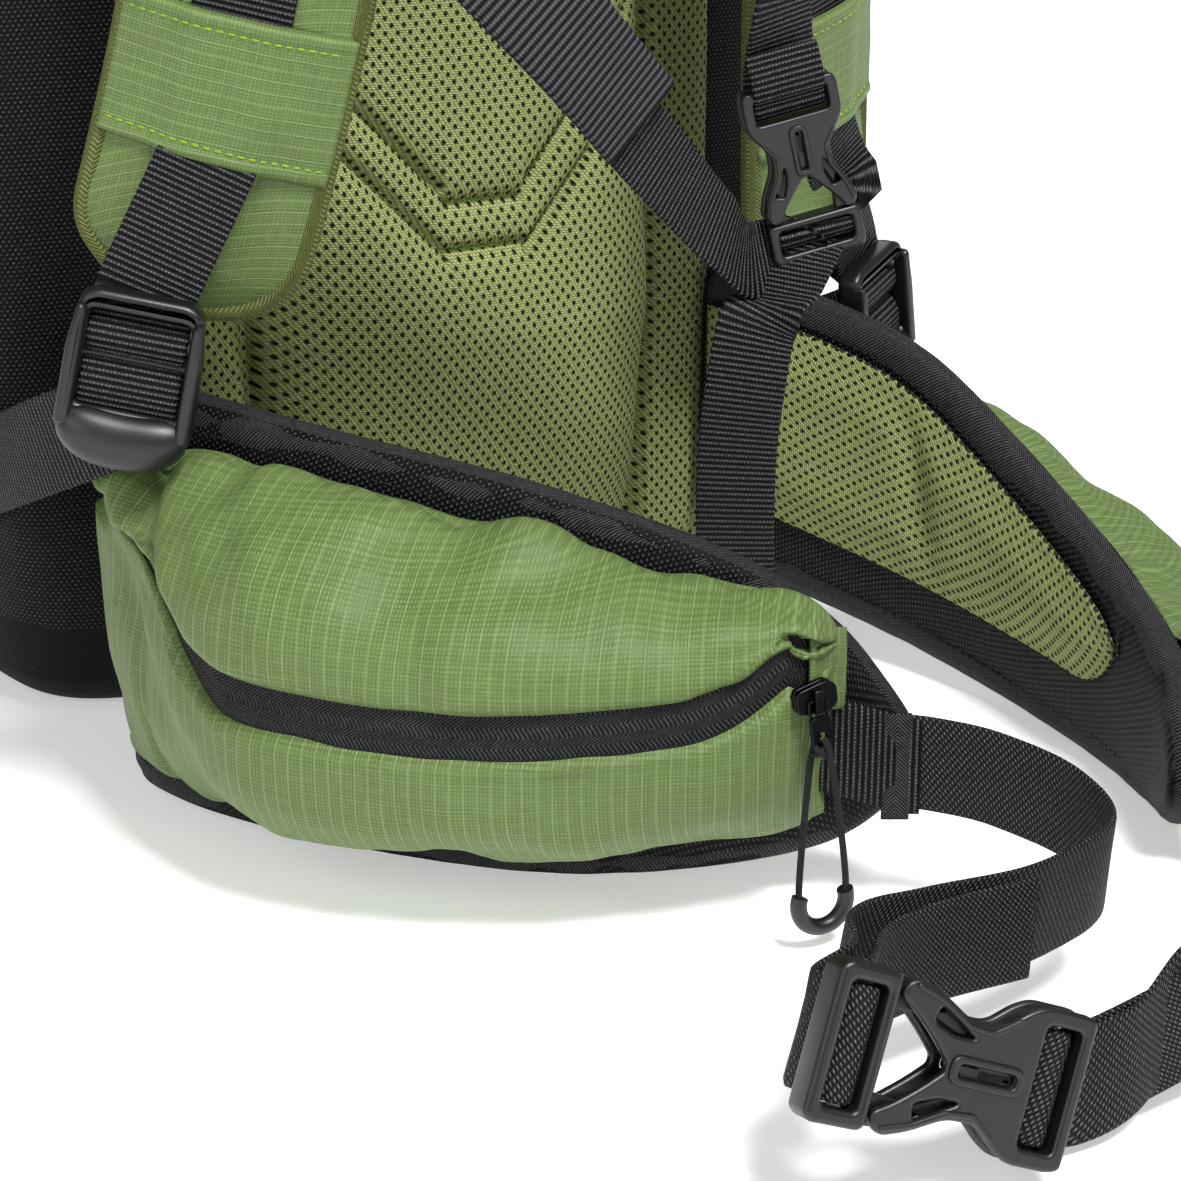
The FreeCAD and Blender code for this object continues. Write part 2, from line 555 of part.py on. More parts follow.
def hip_belt():
    left, right = fin_rows(LEFT_FIN), fin_rows(RIGHT_FIN)
    fin("left", left)
    fin("right", right)
    left_arc, right_arc = arc_through(*LEFT_ZIP), arc_through(*RIGHT_ZIP)
    left_pocket, right_pocket = left[7:23], right[7:23]
    pocket("left", left_pocket, left_arc)
    pocket("right", right_pocket, right_arc)
    left_zip, right_zip = zip_points(left_pocket, left_arc), zip_points(right_pocket, right_arc)
    zip_tape("left", left_zip)
    zip_tape("right", right_zip)
    cord_and_ring(*hip_zip("left", left_zip))
    hip_zip("right", right_zip)
    hip_anchors(left, right)
    hip_webbing()


bag_shell()
frame_parts()
back_pad()
collar_parts()
lid_parts()
lid_strap()
front_pocket_parts()
side_pocket(LEFT)
side_pocket(RIGHT)
compression_parts()
haul_loop()
shoulder_parts()
lower_harness()
chest_strap()
hip_belt()
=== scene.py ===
import math

import bmesh
import bpy
import numpy as np
from mathutils import Matrix, Vector, noise


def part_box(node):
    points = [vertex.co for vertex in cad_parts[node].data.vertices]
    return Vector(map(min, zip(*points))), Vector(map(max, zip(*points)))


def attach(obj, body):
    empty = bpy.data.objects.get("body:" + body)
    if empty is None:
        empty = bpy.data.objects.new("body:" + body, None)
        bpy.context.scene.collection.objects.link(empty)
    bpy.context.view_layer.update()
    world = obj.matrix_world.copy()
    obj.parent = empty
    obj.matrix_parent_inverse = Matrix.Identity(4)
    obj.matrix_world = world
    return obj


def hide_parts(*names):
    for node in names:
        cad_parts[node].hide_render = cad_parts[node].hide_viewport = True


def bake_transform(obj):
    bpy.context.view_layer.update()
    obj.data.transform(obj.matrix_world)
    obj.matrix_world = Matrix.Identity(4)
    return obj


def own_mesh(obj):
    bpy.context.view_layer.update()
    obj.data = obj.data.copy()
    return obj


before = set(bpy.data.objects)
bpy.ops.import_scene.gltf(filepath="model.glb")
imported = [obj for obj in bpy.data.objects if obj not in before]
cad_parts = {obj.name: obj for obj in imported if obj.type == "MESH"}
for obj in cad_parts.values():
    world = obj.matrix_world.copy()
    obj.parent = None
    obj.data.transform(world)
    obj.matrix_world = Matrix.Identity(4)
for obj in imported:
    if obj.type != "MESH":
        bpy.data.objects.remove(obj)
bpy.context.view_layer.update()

# Lengths are in millimetres until a mesh is made, and every UV map is in millimetres of cloth.
MM = 0.001
HIP_WEB, CHEST_WEB, WEB_T = 25.0, 20.0, 1.5
LEFT, RIGHT = -1, 1
SIDE_NAME = {LEFT: "left", RIGHT: "right"}


def cad_box(node):
    """The lowest and highest corner of a CAD node, in mm."""
    low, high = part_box(node)
    return np.array(low) / MM, np.array(high) / MM


def cad_middle(node):
    low, high = cad_box(node)
    return (low + high) / 2


# Small geometry helpers

def unit(v):
    v = np.asarray(v, float)
    return v / np.linalg.norm(v)


def square_to(v, along):
    """The unit vector nearest to v that is square to the unit vector along."""
    v = np.asarray(v, float)
    return unit(v - along * v.dot(along))


def unit_rows(v):
    return v / np.maximum(np.linalg.norm(v, axis=-1, keepdims=True), 1e-9)


def smoothstep(x, low, high):
    t = np.clip((np.asarray(x, float) - low) / (high - low), 0, 1)
    return t * t * (3 - 2 * t)


def resample(rows, step):
    """Rows of numbers on a Catmull-Rom curve, at equal steps along their first three columns."""
    rows = np.asarray(rows, float)
    ends = np.vstack([2 * rows[0] - rows[1], rows, 2 * rows[-1] - rows[-2]])
    fine = []
    for i in range(1, len(ends) - 2):
        a, b, c, d = ends[i - 1:i + 3]
        for t in np.linspace(0, 1, 16, endpoint=False):
            fine.append(0.5 * (2 * b + (c - a) * t + (2 * a - 5 * b + 4 * c - d) * t ** 2
                               + (3 * b - a - 3 * c + d) * t ** 3))
    fine = np.array(fine + [rows[-1]])
    along = np.r_[0, np.cumsum(np.linalg.norm(np.diff(fine[:, :3], axis=0), axis=1))]
    count = max(4, int(round(along[-1] / step)) + 1)
    at = np.linspace(0, along[-1], count)
    return np.stack([np.interp(at, along, fine[:, k]) for k in range(fine.shape[1])], 1)


def lengths(points):
    """The distance along a line of points."""
    return np.r_[0, np.cumsum(np.linalg.norm(np.diff(points, axis=0), axis=1))]


def wander(points, size, amount, seed=0.0):
    """Smooth noise at each point, between about -amount and amount."""
    flat = np.asarray(points, float).reshape(-1, 3) / size
    values = [noise.noise(Vector(p) + Vector((seed, seed * 0.7, -seed))) for p in flat]
    return amount * 2.0 * np.array(values).reshape(np.shape(points)[:-1])


def linked(name, data):
    """A new object in the scene."""
    obj = bpy.data.objects.new(name, data)
    bpy.context.scene.collection.objects.link(obj)
    return obj


def roughened(points, away, size, amount, seed):
    """Points moved along the given directions by smooth noise."""
    return points + away * wander(points, size, amount, seed)[..., None]


def make_mesh(name, verts, faces, uvs, outward=True):
    mesh = bpy.data.meshes.new(name)
    mesh.from_pydata([tuple(v) for v in np.asarray(verts) * MM], [], faces)
    layer = mesh.uv_layers.new(name="mm")
    layer.data.foreach_set("uv", np.asarray(uvs, float).ravel())
    mesh.polygons.foreach_set("use_smooth", [True] * len(mesh.polygons))
    if outward:
        tidy = bmesh.new()
        tidy.from_mesh(mesh)
        bmesh.ops.recalc_face_normals(tidy, faces=tidy.faces)
        tidy.to_mesh(mesh)
        tidy.free()
    return linked(name, mesh)


def grid(name, points, u=None, v=None, closed=False, caps=False, outward=True):
    """A surface through points[i, j], where u and v are the distances along j and i.

    closed joins the last j to the first, and caps closes both ends.
    """
    points = np.asarray(points, float)
    rows, cols = points.shape[:2]
    wide = cols + 1 if closed else cols
    looped = np.concatenate([points, points[:, :1]], 1) if closed else points
    if u is None:
        u = np.array([lengths(r) for r in looped])
        u = u - u[:, [wide // 2]]
    if v is None:
        v = np.array([lengths(looped[:, j]) for j in range(wide)]).T
    u = np.broadcast_to(u, (rows, wide))
    v = np.broadcast_to(np.asarray(v).reshape(rows, -1), (rows, wide))
    faces, uvs = [], []
    for i in range(rows - 1):
        for j in range(wide - 1):
            k = (j + 1) % cols
            faces.append((i * cols + j, i * cols + k, (i + 1) * cols + k, (i + 1) * cols + j))
            uvs += [(u[i, j], v[i, j]), (u[i, j + 1], v[i, j + 1]),
                    (u[i + 1, j + 1], v[i + 1, j + 1]), (u[i + 1, j], v[i + 1, j])]
    if caps:
        for i in (0, rows - 1):
            faces.append(tuple(i * cols + j for j in range(cols)))
            uvs += [(u[i, j], v[i, j]) for j in range(cols)]
    return make_mesh(name, points.reshape(-1, 3), faces, uvs, outward=outward)


def normals_of(points):
    """The unit normal of a grid of points."""
    du = np.gradient(points, axis=1)
    dv = np.gradient(points, axis=0)
    return unit_rows(np.cross(du, dv))


def frames_along(path, across):
    """The unit directions across and out of a band at each point of its path."""
    along = unit_rows(np.gradient(path, axis=0))
    across = unit_rows(across - along * np.sum(across * along, axis=1, keepdims=True))
    return across, np.cross(across, along)


def band_ring(width, thick):
    """The outline of flat webbing with round selvedges: across, out."""
    s = np.array([-1, -0.985, -0.95, -0.9, -0.45, 0, 0.45, 0.9, 0.95, 0.985, 1])
    t = np.sqrt(np.clip(1 - (np.clip(np.abs(s) - 0.9, 0, None) / 0.1) ** 2, 0, 1))
    top = np.stack([s * width / 2, t * thick / 2], 1)
    return np.concatenate([top, (top * [1, -1])[-2:0:-1]])


def webbing(name, stations, width, thick=WEB_T, step=2.0, sway=0.0, seed=1.0):
    """Flat webbing along stations (x, y, z, wx, wy, wz), where w is the direction across it."""
    rows = resample(stations, step)
    path = rows[:, :3]
    across, out = frames_along(path, rows[:, 3:6])
    if sway:
        fade = np.sin(np.linspace(0, math.pi, len(path)))
        path = path + out * (wander(path, 30, sway, seed) * fade)[:, None]
        across, out = frames_along(path, rows[:, 3:6])
    ring = band_ring(width, thick)
    points = path[:, None] + across[:, None] * ring[None, :, :1] + out[:, None] * ring[None, :, 1:]
    u = np.r_[ring[:, 0], ring[0, 0]]
    return grid(name, points, u=u, v=lengths(path), closed=True, caps=True)


def around(path, side, top, half_wide, half_tall, sides):
    """Rings of points round a path."""
    a = np.linspace(0, 2 * math.pi, sides, endpoint=False)
    return (path[:, None] + side[:, None] * (half_wide * np.cos(a))[None, :, None]
            + top[:, None] * (half_tall * np.sin(a))[None, :, None])


def tube(name, path, radius, closed=False, sides=10, up=(0, 0, 1)):
    """A round cord through path."""
    path = np.asarray(path, float)
    if closed:
        along = np.roll(path, -1, 0) - np.roll(path, 1, 0)
    else:
        along = np.gradient(path, axis=0)
    along = unit_rows(along)
    side = unit_rows(np.cross(along, np.asarray(up, float)))
    top = np.cross(side, along)
    points = around(path, side, top, radius, radius, sides)
    if closed:
        points = np.concatenate([points, points[:1]])
    return grid(name, points, closed=True, caps=not closed)


def stitches(name, path, normals, pitch=3.4, length=2.5, radius=0.42):
    """A row of thread dashes that lies on a surface; path and normals are rows of points."""
    path, normals = np.asarray(path, float), np.asarray(normals, float)
    along = lengths(path)
    count = int(along[-1] / pitch)
    verts, faces = [], []
    for i in range(count):
        ends = [np.array([np.interp(s, along, path[:, k]) for k in range(3)])
                for s in ((i + 0.5) * pitch - length / 2, (i + 0.5) * pitch + length / 2)]
        n = unit([np.interp((i + 0.5) * pitch, along, normals[:, k]) for k in range(3)])
        t = unit(ends[1] - ends[0])
        b = np.cross(n, t)
        base = len(verts)
        for f, r in ((0, 0.25), (0.15, 0.9), (0.5, 1.0), (0.85, 0.9), (1, 0.25)):
            centre = ends[0] * (1 - f) + ends[1] * f + n * radius * (0.9 * math.sin(math.pi * f) - 0.1)
            for k in range(6):
                a = math.pi * k / 3
                verts.append(centre + (b * math.cos(a) + n * math.sin(a)) * radius * r)
        for ring in range(4):
            for k in range(6):
                m = (k + 1) % 6
                low, high = base + ring * 6, base + ring * 6 + 6
                faces.append((low + k, low + m, high + m, high + k))
    uvs = [(0.0, 0.0)] * (4 * len(faces))
    return make_mesh(name, verts, faces, uvs)


def plate(name, loops, z0, z1, bevel=0.5):
    """A flat plate with rounded edges. The first loop of points is its outline, and the others are holes."""
    curve = bpy.data.curves.new(name, "CURVE")
    curve.dimensions = "2D"
    curve.fill_mode = "BOTH"
    curve.extrude = (abs(z1 - z0) / 2 - bevel) * MM
    curve.bevel_depth = bevel * MM
    curve.bevel_resolution = 3
    curve.offset = -bevel * MM
    for loop in loops:
        spline = curve.splines.new("POLY")
        spline.points.add(len(loop) - 1)
        for point, (x, y) in zip(spline.points, loop):
            point.co = (x * MM, y * MM, 0, 1)
        spline.use_cyclic_u = True
    holder = linked(name, curve)
    mesh = bpy.data.meshes.new_from_object(holder.evaluated_get(bpy.context.evaluated_depsgraph_get()))
    bpy.data.objects.remove(holder)
    mesh.transform(Matrix.Translation((0, 0, (z0 + z1) / 2 * MM)))
    mesh.polygons.foreach_set("use_smooth", [True] * len(mesh.polygons))
    return linked(name, mesh)


def rounded(points, radius, steps=4):
    """A loop of corner points with each corner rounded off."""
    out = []
    count = len(points)
    for i in range(count):
        a, b, c = (np.array(points[(i + k) % count], float) for k in (-1, 0, 1))
        r = min(radius, 0.45 * np.linalg.norm(a - b), 0.45 * np.linalg.norm(c - b))
        p, q = b + unit(a - b) * r, b + unit(c - b) * r
        for t in np.linspace(0, 1, steps + 1):
            out.append(tuple(p * (1 - t) ** 2 + 2 * b * t * (1 - t) + q * t ** 2))
    return out


def mirrored(points):
    """A loop of points from its half above the X axis."""
    return points + [(x, -y) for x, y in reversed(points)]


def sized(points, k, flip=1):
    """Points of an outline scaled by k, and mirrored across the X axis where flip is -1."""
    return [(x * k, flip * y * k) for x, y in points]


def joined(name, parts):
    """Several objects as one, which keeps their UV maps."""
    whole = bmesh.new()
    for part in parts:
        whole.from_mesh(part.data)
    mesh = bpy.data.meshes.new(name)
    whole.to_mesh(mesh)
    whole.free()
    for part in parts:
        bpy.data.objects.remove(part)
    mesh.polygons.foreach_set("use_smooth", [True] * len(mesh.polygons))
    return linked(name, mesh)


def put(obj, at, along, face):
    """Moves a shape from its own axes (x along, z out of its face) to its place."""
    x = unit(along)
    z = square_to(face, x)
    y = np.cross(z, x)
    at = np.asarray(at, float) * MM
    obj.data.transform(Matrix([[x[0], y[0], z[0], at[0]], [x[1], y[1], z[1], at[1]],
                               [x[2], y[2], z[2], at[2]], [0, 0, 0, 1]]))
    return obj


def thicken(obj, thickness):
    """Gives a surface of cloth its thickness in mm."""
    obj.modifiers.new("thickness", "SOLIDIFY").thickness = thickness * MM


def edge_shading(obj, degrees=35):
    """Smooth faces with crisp corners."""
    obj.data.shade_smooth()
    obj.modifiers.new("corners", "EDGE_SPLIT").split_angle = math.radians(degrees)


def piece(obj, material, body, slot, *nodes):
    """Gives a finished object its material, its body (or none) and the CAD nodes that it stands for."""
    obj.data.materials.clear()
    obj.data.materials.append(material)
    if body:
        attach(obj, body)
    if nodes:
        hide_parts(*nodes)
    return obj


def once(side, node):
    """A CAD node that holds the pieces of both sides is replaced by the left one."""
    return (node,) if side == LEFT else ()


# Materials

class Field:
    """A number, colour or direction that varies over a material's surface."""

    def __init__(self, look, socket):
        self.look, self.socket = look, socket

    def op(self, kind, *values):
        node = self.look.nodes.new("ShaderNodeMath")
        node.operation = kind
        for socket, value in zip(node.inputs, (self, *values)):
            if isinstance(value, Field):
                self.look.links.new(value.socket, socket)
            else:
                socket.default_value = value
        return Field(self.look, node.outputs[0])

    def __add__(self, other):
        return self.op("ADD", other)

    def __sub__(self, other):
        return self.op("SUBTRACT", other)

    def __mul__(self, other):
        return self.op("MULTIPLY", other)

    def __truediv__(self, other):
        return self.op("DIVIDE", other)

    def __pow__(self, other):
        return self.op("POWER", other)

    def linear(self, factor, shift):
        return self.op("MULTIPLY_ADD", factor, shift)

    def wave(self, period, shift=0.0):
        """A smooth wave between 0 and 1 with the given period."""
        return self.linear(2 * math.pi / period, shift).op("SINE").linear(0.5, 0.5)

    def hollow(self, size):
        """1 where the field is 0, falling softly to 0 where it is the given size."""
        return (self / size).op("SMOOTH_MIN", 1.0, 0.2).linear(-1.0, 1.0).op("MAXIMUM", 0.0)

    def lines(self, period, half_width):
        """1 on thin lines that repeat with a period, 0 between them."""
        away = ((self / period).op("FRACT") - 0.5).op("ABSOLUTE") * period
        return away.hollow(half_width)

    def row(self, size):
        """The number of the row of cloth, for rows of the given size."""
        return (self / size).op("FLOOR")

    def brick_shift(self, size, shift):
        """The shift on every other row, and 0 on the others."""
        return self.row(size).op("ABSOLUTE").op("MODULO", 2.0) * shift


class Look:
    """A material in the making."""

    def __init__(self, name, roughness=0.62, specular=0.12, metallic=0.0):
        self.material = bpy.data.materials.new(name)
        self.material.use_nodes = True
        self.nodes = self.material.node_tree.nodes
        self.links = self.material.node_tree.links
        self.shader = self.nodes["Principled BSDF"]
        self.shader.inputs["Roughness"].default_value = roughness
        self.shader.inputs["Specular IOR Level"].default_value = specular
        self.shader.inputs["Metallic"].default_value = metallic

    def cloth(self):
        """The distances in mm across and along the cloth."""
        node = self.nodes.new("ShaderNodeUVMap")
        node.uv_map = "mm"
        split = self.nodes.new("ShaderNodeSeparateXYZ")
        self.links.new(node.outputs[0], split.inputs[0])
        return Field(self, split.outputs[0]), Field(self, split.outputs[1])

    def noise_at(self, where, scale, detail):
        node = self.nodes.new("ShaderNodeTexNoise")
        node.inputs["Scale"].default_value = scale
        node.inputs["Detail"].default_value = detail
        self.links.new(where, node.inputs["Vector"])
        return Field(self, node.outputs[0])

    def noise(self, scale, detail=3.0, stretch=(1, 1, 1)):
        """Noise in the object's own space; scale is in features per metre."""
        mapping = self.nodes.new("ShaderNodeMapping")
        mapping.inputs["Scale"].default_value = stretch
        self.links.new(self.nodes.new("ShaderNodeTexCoord").outputs["Object"], mapping.inputs[0])
        return self.noise_at(mapping.outputs[0], scale, detail)

    def thread_noise(self, x, y, across, along):
        """Noise laid out in the cloth, with features of the given size in mm both ways."""
        join = self.nodes.new("ShaderNodeCombineXYZ")
        self.links.new((x / across).socket, join.inputs[0])
        self.links.new((y / along).socket, join.inputs[1])
        return self.noise_at(join.outputs[0], 1.0, 2.0)

    def mix(self, amount, first, second):
        """A blend of two colours, each a plain one or a field."""
        node = self.nodes.new("ShaderNodeMix")
        node.data_type = "RGBA"
        for socket, value in ((node.inputs[0], amount), (node.inputs[6], first), (node.inputs[7], second)):
            if isinstance(value, Field):
                self.links.new(value.socket, socket)
            else:
                socket.default_value = value + (1.0,)
        return Field(self, node.outputs[2])

    def bump(self, height, depth, strength=1.0, under=None):
        """A bump of the given depth in mm, on top of another bump if one is given."""
        node = self.nodes.new("ShaderNodeBump")
        node.inputs["Distance"].default_value = depth * MM
        node.inputs["Strength"].default_value = strength
        self.links.new(height.socket, node.inputs["Height"])
        if under:
            self.links.new(under.socket, node.inputs["Normal"])
        return Field(self, node.outputs[0])

    def finish(self, colour, normal):
        self.links.new(colour.socket, self.shader.inputs["Base Color"])
        self.links.new(normal.socket, self.shader.inputs["Normal"])
        return self.material


def scaled(colour, factor):
    return tuple(factor * c for c in colour)


def ripstop(name, base, light):
    """Thin nylon: a fine plain weave with a thicker thread every 3 mm, stronger one way than the other."""
    look = Look(name, 0.5, 0.22)
    x, y = look.cloth()
    weave = x.wave(0.95) * y.wave(0.85)
    threads = y.lines(3.1, 0.30).op("MAXIMUM", x.lines(3.3, 0.28) * 0.3)
    grain = (look.thread_noise(x, y, 9.0, 0.45) + look.thread_noise(x, y, 0.45, 7.0)).linear(2.1, -1.6)
    # Painted highlight and shade: the crowns of the weave and the thicker threads are blended towards the
    # light colour, and the hollows between them are left at a darker copy of the base.
    shade = look.mix(weave * 0.45, scaled(base, 0.74), light)
    shade = look.mix(grain * 0.6, shade, scaled(base, 0.58))
    shade = look.mix(threads * 0.38, shade, light)
    shade = look.mix(look.noise(14.0) * 0.4, shade, scaled(base, 0.7))
    crinkle = look.bump(look.noise(70.0, 4.0), 1.0, 0.6)
    return look.finish(shade, look.bump(threads * 0.7 + weave * 0.6, 0.16, 0.9, crinkle))


def basket(name, base, light, wide, tall, depth, roughness=0.62, crown_highlight=0.8):
    """Thick nylon threads that cross in a brick pattern, each crown lightened with a painted highlight."""
    look = Look(name, roughness)
    x, y = look.cloth()
    bead = (x + y.brick_shift(tall, 0.5 * wide)).wave(wide, -math.pi / 2) * y.wave(tall, -math.pi / 2)
    # Painted highlight: the crown of each thread is blended towards the light colour, with random specks.
    crown = bead ** 3.2 * look.thread_noise(x, y, 1.0, 0.8).linear(2.4, -0.45)
    shade = look.mix(crown * crown_highlight, base, light)
    shade = look.mix(look.noise(22.0) * 0.3, shade, scaled(base, 0.7))
    return look.finish(shade, look.bump(bead, depth, 0.9, look.bump(look.noise(45.0), 0.6, 0.4)))


def spacer_mesh(name, base, slit_shade, light):
    """Knitted spacer mesh: staggered slits in a face of fine slanting ribs, with painted shade in the slits
    and a painted highlight on the ribs.
    """
    look = Look(name, 0.8)
    x, y = look.cloth()
    across, down = 3.5, 2.05
    hole_x = ((x / across + y.brick_shift(down, 0.5)).op("FRACT") - 0.5) * (across / 0.66)
    hole_y = ((y / down).op("FRACT") - 0.5) * (down / 0.84)
    hole = ((hole_x ** 2.0 + hole_y ** 2.0).op("SQRT") ** 4.0).hollow(1.0)
    ribs = (x + y * 0.6).wave(1.15) * y.wave(0.68)
    knit = look.thread_noise(x, y, 0.8, 0.5).linear(0.7, ribs * 0.8) - 0.12
    # Painted highlight: the crowns of the ribs are blended towards the light colour.
    shade = look.mix(knit, base, light)
    shade = look.mix(look.noise(18.0) * 0.25, shade, scaled(base, 0.6))
    # Painted shade: the slits are filled with the near-black slit colour.
    shade = look.mix(hole, shade, slit_shade)
    return look.finish(shade, look.bump(knit * 0.4 - hole, 0.8))


def webbing_cloth(name, base, light):
    """Ribbed webbing: straight ribs across it, each a row of small beads."""
    look = Look(name)
    x, y = look.cloth()
    rib = y.wave(1.6)
    bead = (x + y.row(1.6) * 0.35).wave(0.95)
    # Painted highlight: the crowns of the beads on each rib are blended towards the light colour, with random
    # specks.
    crown = rib ** 2.8 * bead.linear(0.7, 0.3) * look.thread_noise(x, y, 0.7, 0.7).linear(2.2, -0.35)
    return look.finish(look.mix(crown, base, light), look.bump(bead.linear(0.35, rib), 0.45))


def twill_webbing(name, base, light):
    """Belt webbing: short slanting floats in a brick pattern."""
    look = Look(name)
    x, y = look.cloth()
    slant = x + y * 0.9
    # Painted highlight: the crown of each float is blended towards the light colour, with random specks.
    crown = slant.wave(1.3) ** 1.6 * (y + slant.row(1.3) * 0.55).wave(1.05) ** 1.2
    speck = look.thread_noise(x, y, 0.7, 0.7).linear(2.2, -0.3)
    return look.finish(look.mix(crown * speck, base, light), look.bump(crown, 0.4))


def ribbed(name, base, light):
    """Elastic with raised ribs across it."""
    look = Look(name)
    x, y = look.cloth()
    rib, knit = y.wave(2.1), x.wave(0.9)
    # Painted highlight on the crowns of the ribs.
    shade = look.mix(rib ** 1.5 * knit.linear(0.5, 0.4), base, light)
    return look.finish(shade, look.bump(knit.linear(0.3, rib), 0.5))


def herringbone(name, base, light, period=1.15, column=2.6, depth=0.25):
    """Tape woven in columns of slanting ribs that change direction."""
    look = Look(name)
    x, y = look.cloth()
    rib = (y + x.op("PINGPONG", column)).wave(period)
    # Painted highlight on the crowns of the slanting ribs, broken by fine noise.
    shade = look.mix(rib ** 1.6 * look.noise(900.0, 2.0) * 0.9, base, light)
    return look.finish(shade, look.bump(rib, depth, 0.9))


def plastic(name, colour, roughness):
    """Moulded plastic with a fine grain, a little shinier where it is worn."""
    look = Look(name, roughness, 0.5)
    worn = look.noise(60.0, 4.0)
    look.links.new(worn.linear(0.22, roughness - 0.08).socket, look.shader.inputs["Roughness"])
    shade = look.mix(worn * 0.4, colour, scaled(colour, 1.7))
    return look.finish(shade, look.bump(look.noise(2600.0, 2.0), 0.05, 0.55))


def metal(name, colour, roughness):
    """Brushed or lacquered metal."""
    look = Look(name, roughness, 0.5, metallic=1.0)
    brushed = look.noise(900.0, 2.0, (1, 1, 0.04))
    shade = look.mix(brushed * 0.5, colour, scaled(colour, 0.55))
    return look.finish(shade, look.bump(brushed, 0.03, 0.4))


def twisted(name, base, light):
    """Thread or braided cord."""
    look = Look(name)
    x, y = look.cloth()
    strand = (x + y).wave(0.9)
    # Painted highlight along the crown of each strand, broken by fine noise.
    shade = look.mix(strand * look.noise(1500.0, 2.0), base, light)
    return look.finish(shade, look.bump(strand, 0.12, 0.8))


# Each cloth's first colour is its own. Its lightest colour is a painted highlight on the crowns of its
# threads, and the olive mesh's middle colour is painted shade in its slits.
GREEN = ripstop("green ripstop", (0.118, 0.180, 0.052), (0.31, 0.41, 0.165))
BALLISTIC = basket("ballistic nylon", (0.0012, 0.0012, 0.0014), (0.15, 0.15, 0.16), 1.6, 1.2, 0.35)
LINING = basket("black lining", (0.0020, 0.0020, 0.0023), (0.07, 0.07, 0.075), 0.9, 0.7, 0.12, 0.7, 0.7)
STRETCH = basket("stretch pocket knit", (0.0025, 0.0025, 0.0028), (0.08, 0.08, 0.085), 2.4, 1.3, 0.35, 0.8)
MESH = spacer_mesh("olive spacer mesh", (0.066, 0.082, 0.018), (0.003, 0.004, 0.001), (0.52, 0.57, 0.24))
WEBBING = webbing_cloth("black webbing", (0.0011, 0.0011, 0.0013), (0.13, 0.13, 0.14))
BELT_WEBBING = twill_webbing("black belt webbing", (0.0012, 0.0012, 0.0014), (0.16, 0.16, 0.165))
SLEEVE = ribbed("ribbed elastic", (0.0016, 0.0016, 0.0018), (0.11, 0.11, 0.12))
ZIP_TAPE = herringbone("zip tape", (0.0028, 0.0028, 0.0031), (0.085, 0.085, 0.09))
BINDING = herringbone("binding tape", (0.0016, 0.0016, 0.0018), (0.12, 0.12, 0.13), 1.0, 40.0, 0.2)
OLIVE_BINDING = herringbone("olive binding tape", (0.055, 0.070, 0.018), (0.26, 0.29, 0.10), 1.3, 2.0, 0.3)
PLASTIC = plastic("black acetal", (0.0026, 0.0027, 0.0030), 0.37)
SHEET_PLASTIC = plastic("frame sheet plastic", (0.02, 0.02, 0.022), 0.5)
LACQUER = metal("black lacquered zinc", (0.02, 0.02, 0.023), 0.35)
ALUMINIUM = metal("stay aluminium", (0.72, 0.73, 0.75), 0.3)
STEEL = metal("spring steel", (0.5, 0.5, 0.52), 0.25)
LIME = twisted("lime thread", (0.10, 0.19, 0.012), (0.42, 0.62, 0.07))
BLACK_THREAD = twisted("black thread", (0.004, 0.004, 0.005), (0.04, 0.04, 0.043))
CORD = twisted("black cord", (0.003, 0.003, 0.0035), (0.05, 0.05, 0.053))


# The hip belt

FINS = {
    LEFT: [(-92, -118, 8, 112), (-112, -137, 3, 116), (-119, -165, 2, 117), (-97, -215, 2, 114),
           (-54, -265, 2, 104), (-12, -300, 10, 86), (20, -319, 22, 55)],
    RIGHT: [(92, -118, 26, 112), (104, -145, 18, 110), (122, -185, 9, 98), (130, -228, 3, 76),
            (127, -272, 2, 60), (116, -312, 4, 48), (99, -343, 10, 38)],
}
FIN_T = 13.0


class Fin:
    """A hip fin as lines of stations: its outside in plan, its upper and lower edge, and the way out."""

    def __init__(self, side):
        rows = np.array([(x, y, 0, z0, z1) for x, y, z0, z1 in FINS[side]], float)
        rows = resample(rows, 1.6)
        self.side = side
        self.name = SIDE_NAME[side]
        self.s = lengths(rows[:, :2])
        self.xy = rows[:, :2]
        along = unit_rows(np.gradient(self.xy, axis=0))
        self.out = np.stack([along[:, 1], -along[:, 0]], 1) * (-side)
        to_tip = np.clip((self.s[-1] - self.s) / 20.0, 0, 1)
        half = (rows[:, 4] - rows[:, 3]) / 2
        close = half * (1 - np.sqrt(1 - (1 - to_tip) ** 2)) * 0.75
        self.z0 = rows[:, 3] + close
        self.z1 = rows[:, 4] - close
        self.middle = (rows[:, 3] + rows[:, 4]) / 2
        self.tip_way = unit(np.append(self.xy[-1] - self.xy[-3], 0))

    def at(self, s, n, z):
        """Points at distance s along the fin, n out of its outside and height z."""
        s, n, z = np.broadcast_arrays(np.asarray(s, float), n, z)
        x, y, nx, ny = (np.interp(s, self.s, c) for c in (*self.xy.T, *self.out.T))
        return np.stack([x + nx * n, y + ny * n, z], -1)

    def low(self, s):
        return np.interp(s, self.s, self.z0)

    def high(self, s):
        return np.interp(s, self.s, self.z1)

    def away(self, s):
        """The direction out of the fin at s."""
        nx, ny = (np.interp(s, self.s, self.out[:, k]) for k in (0, 1))
        return np.stack([nx, ny, 0 * nx], -1)


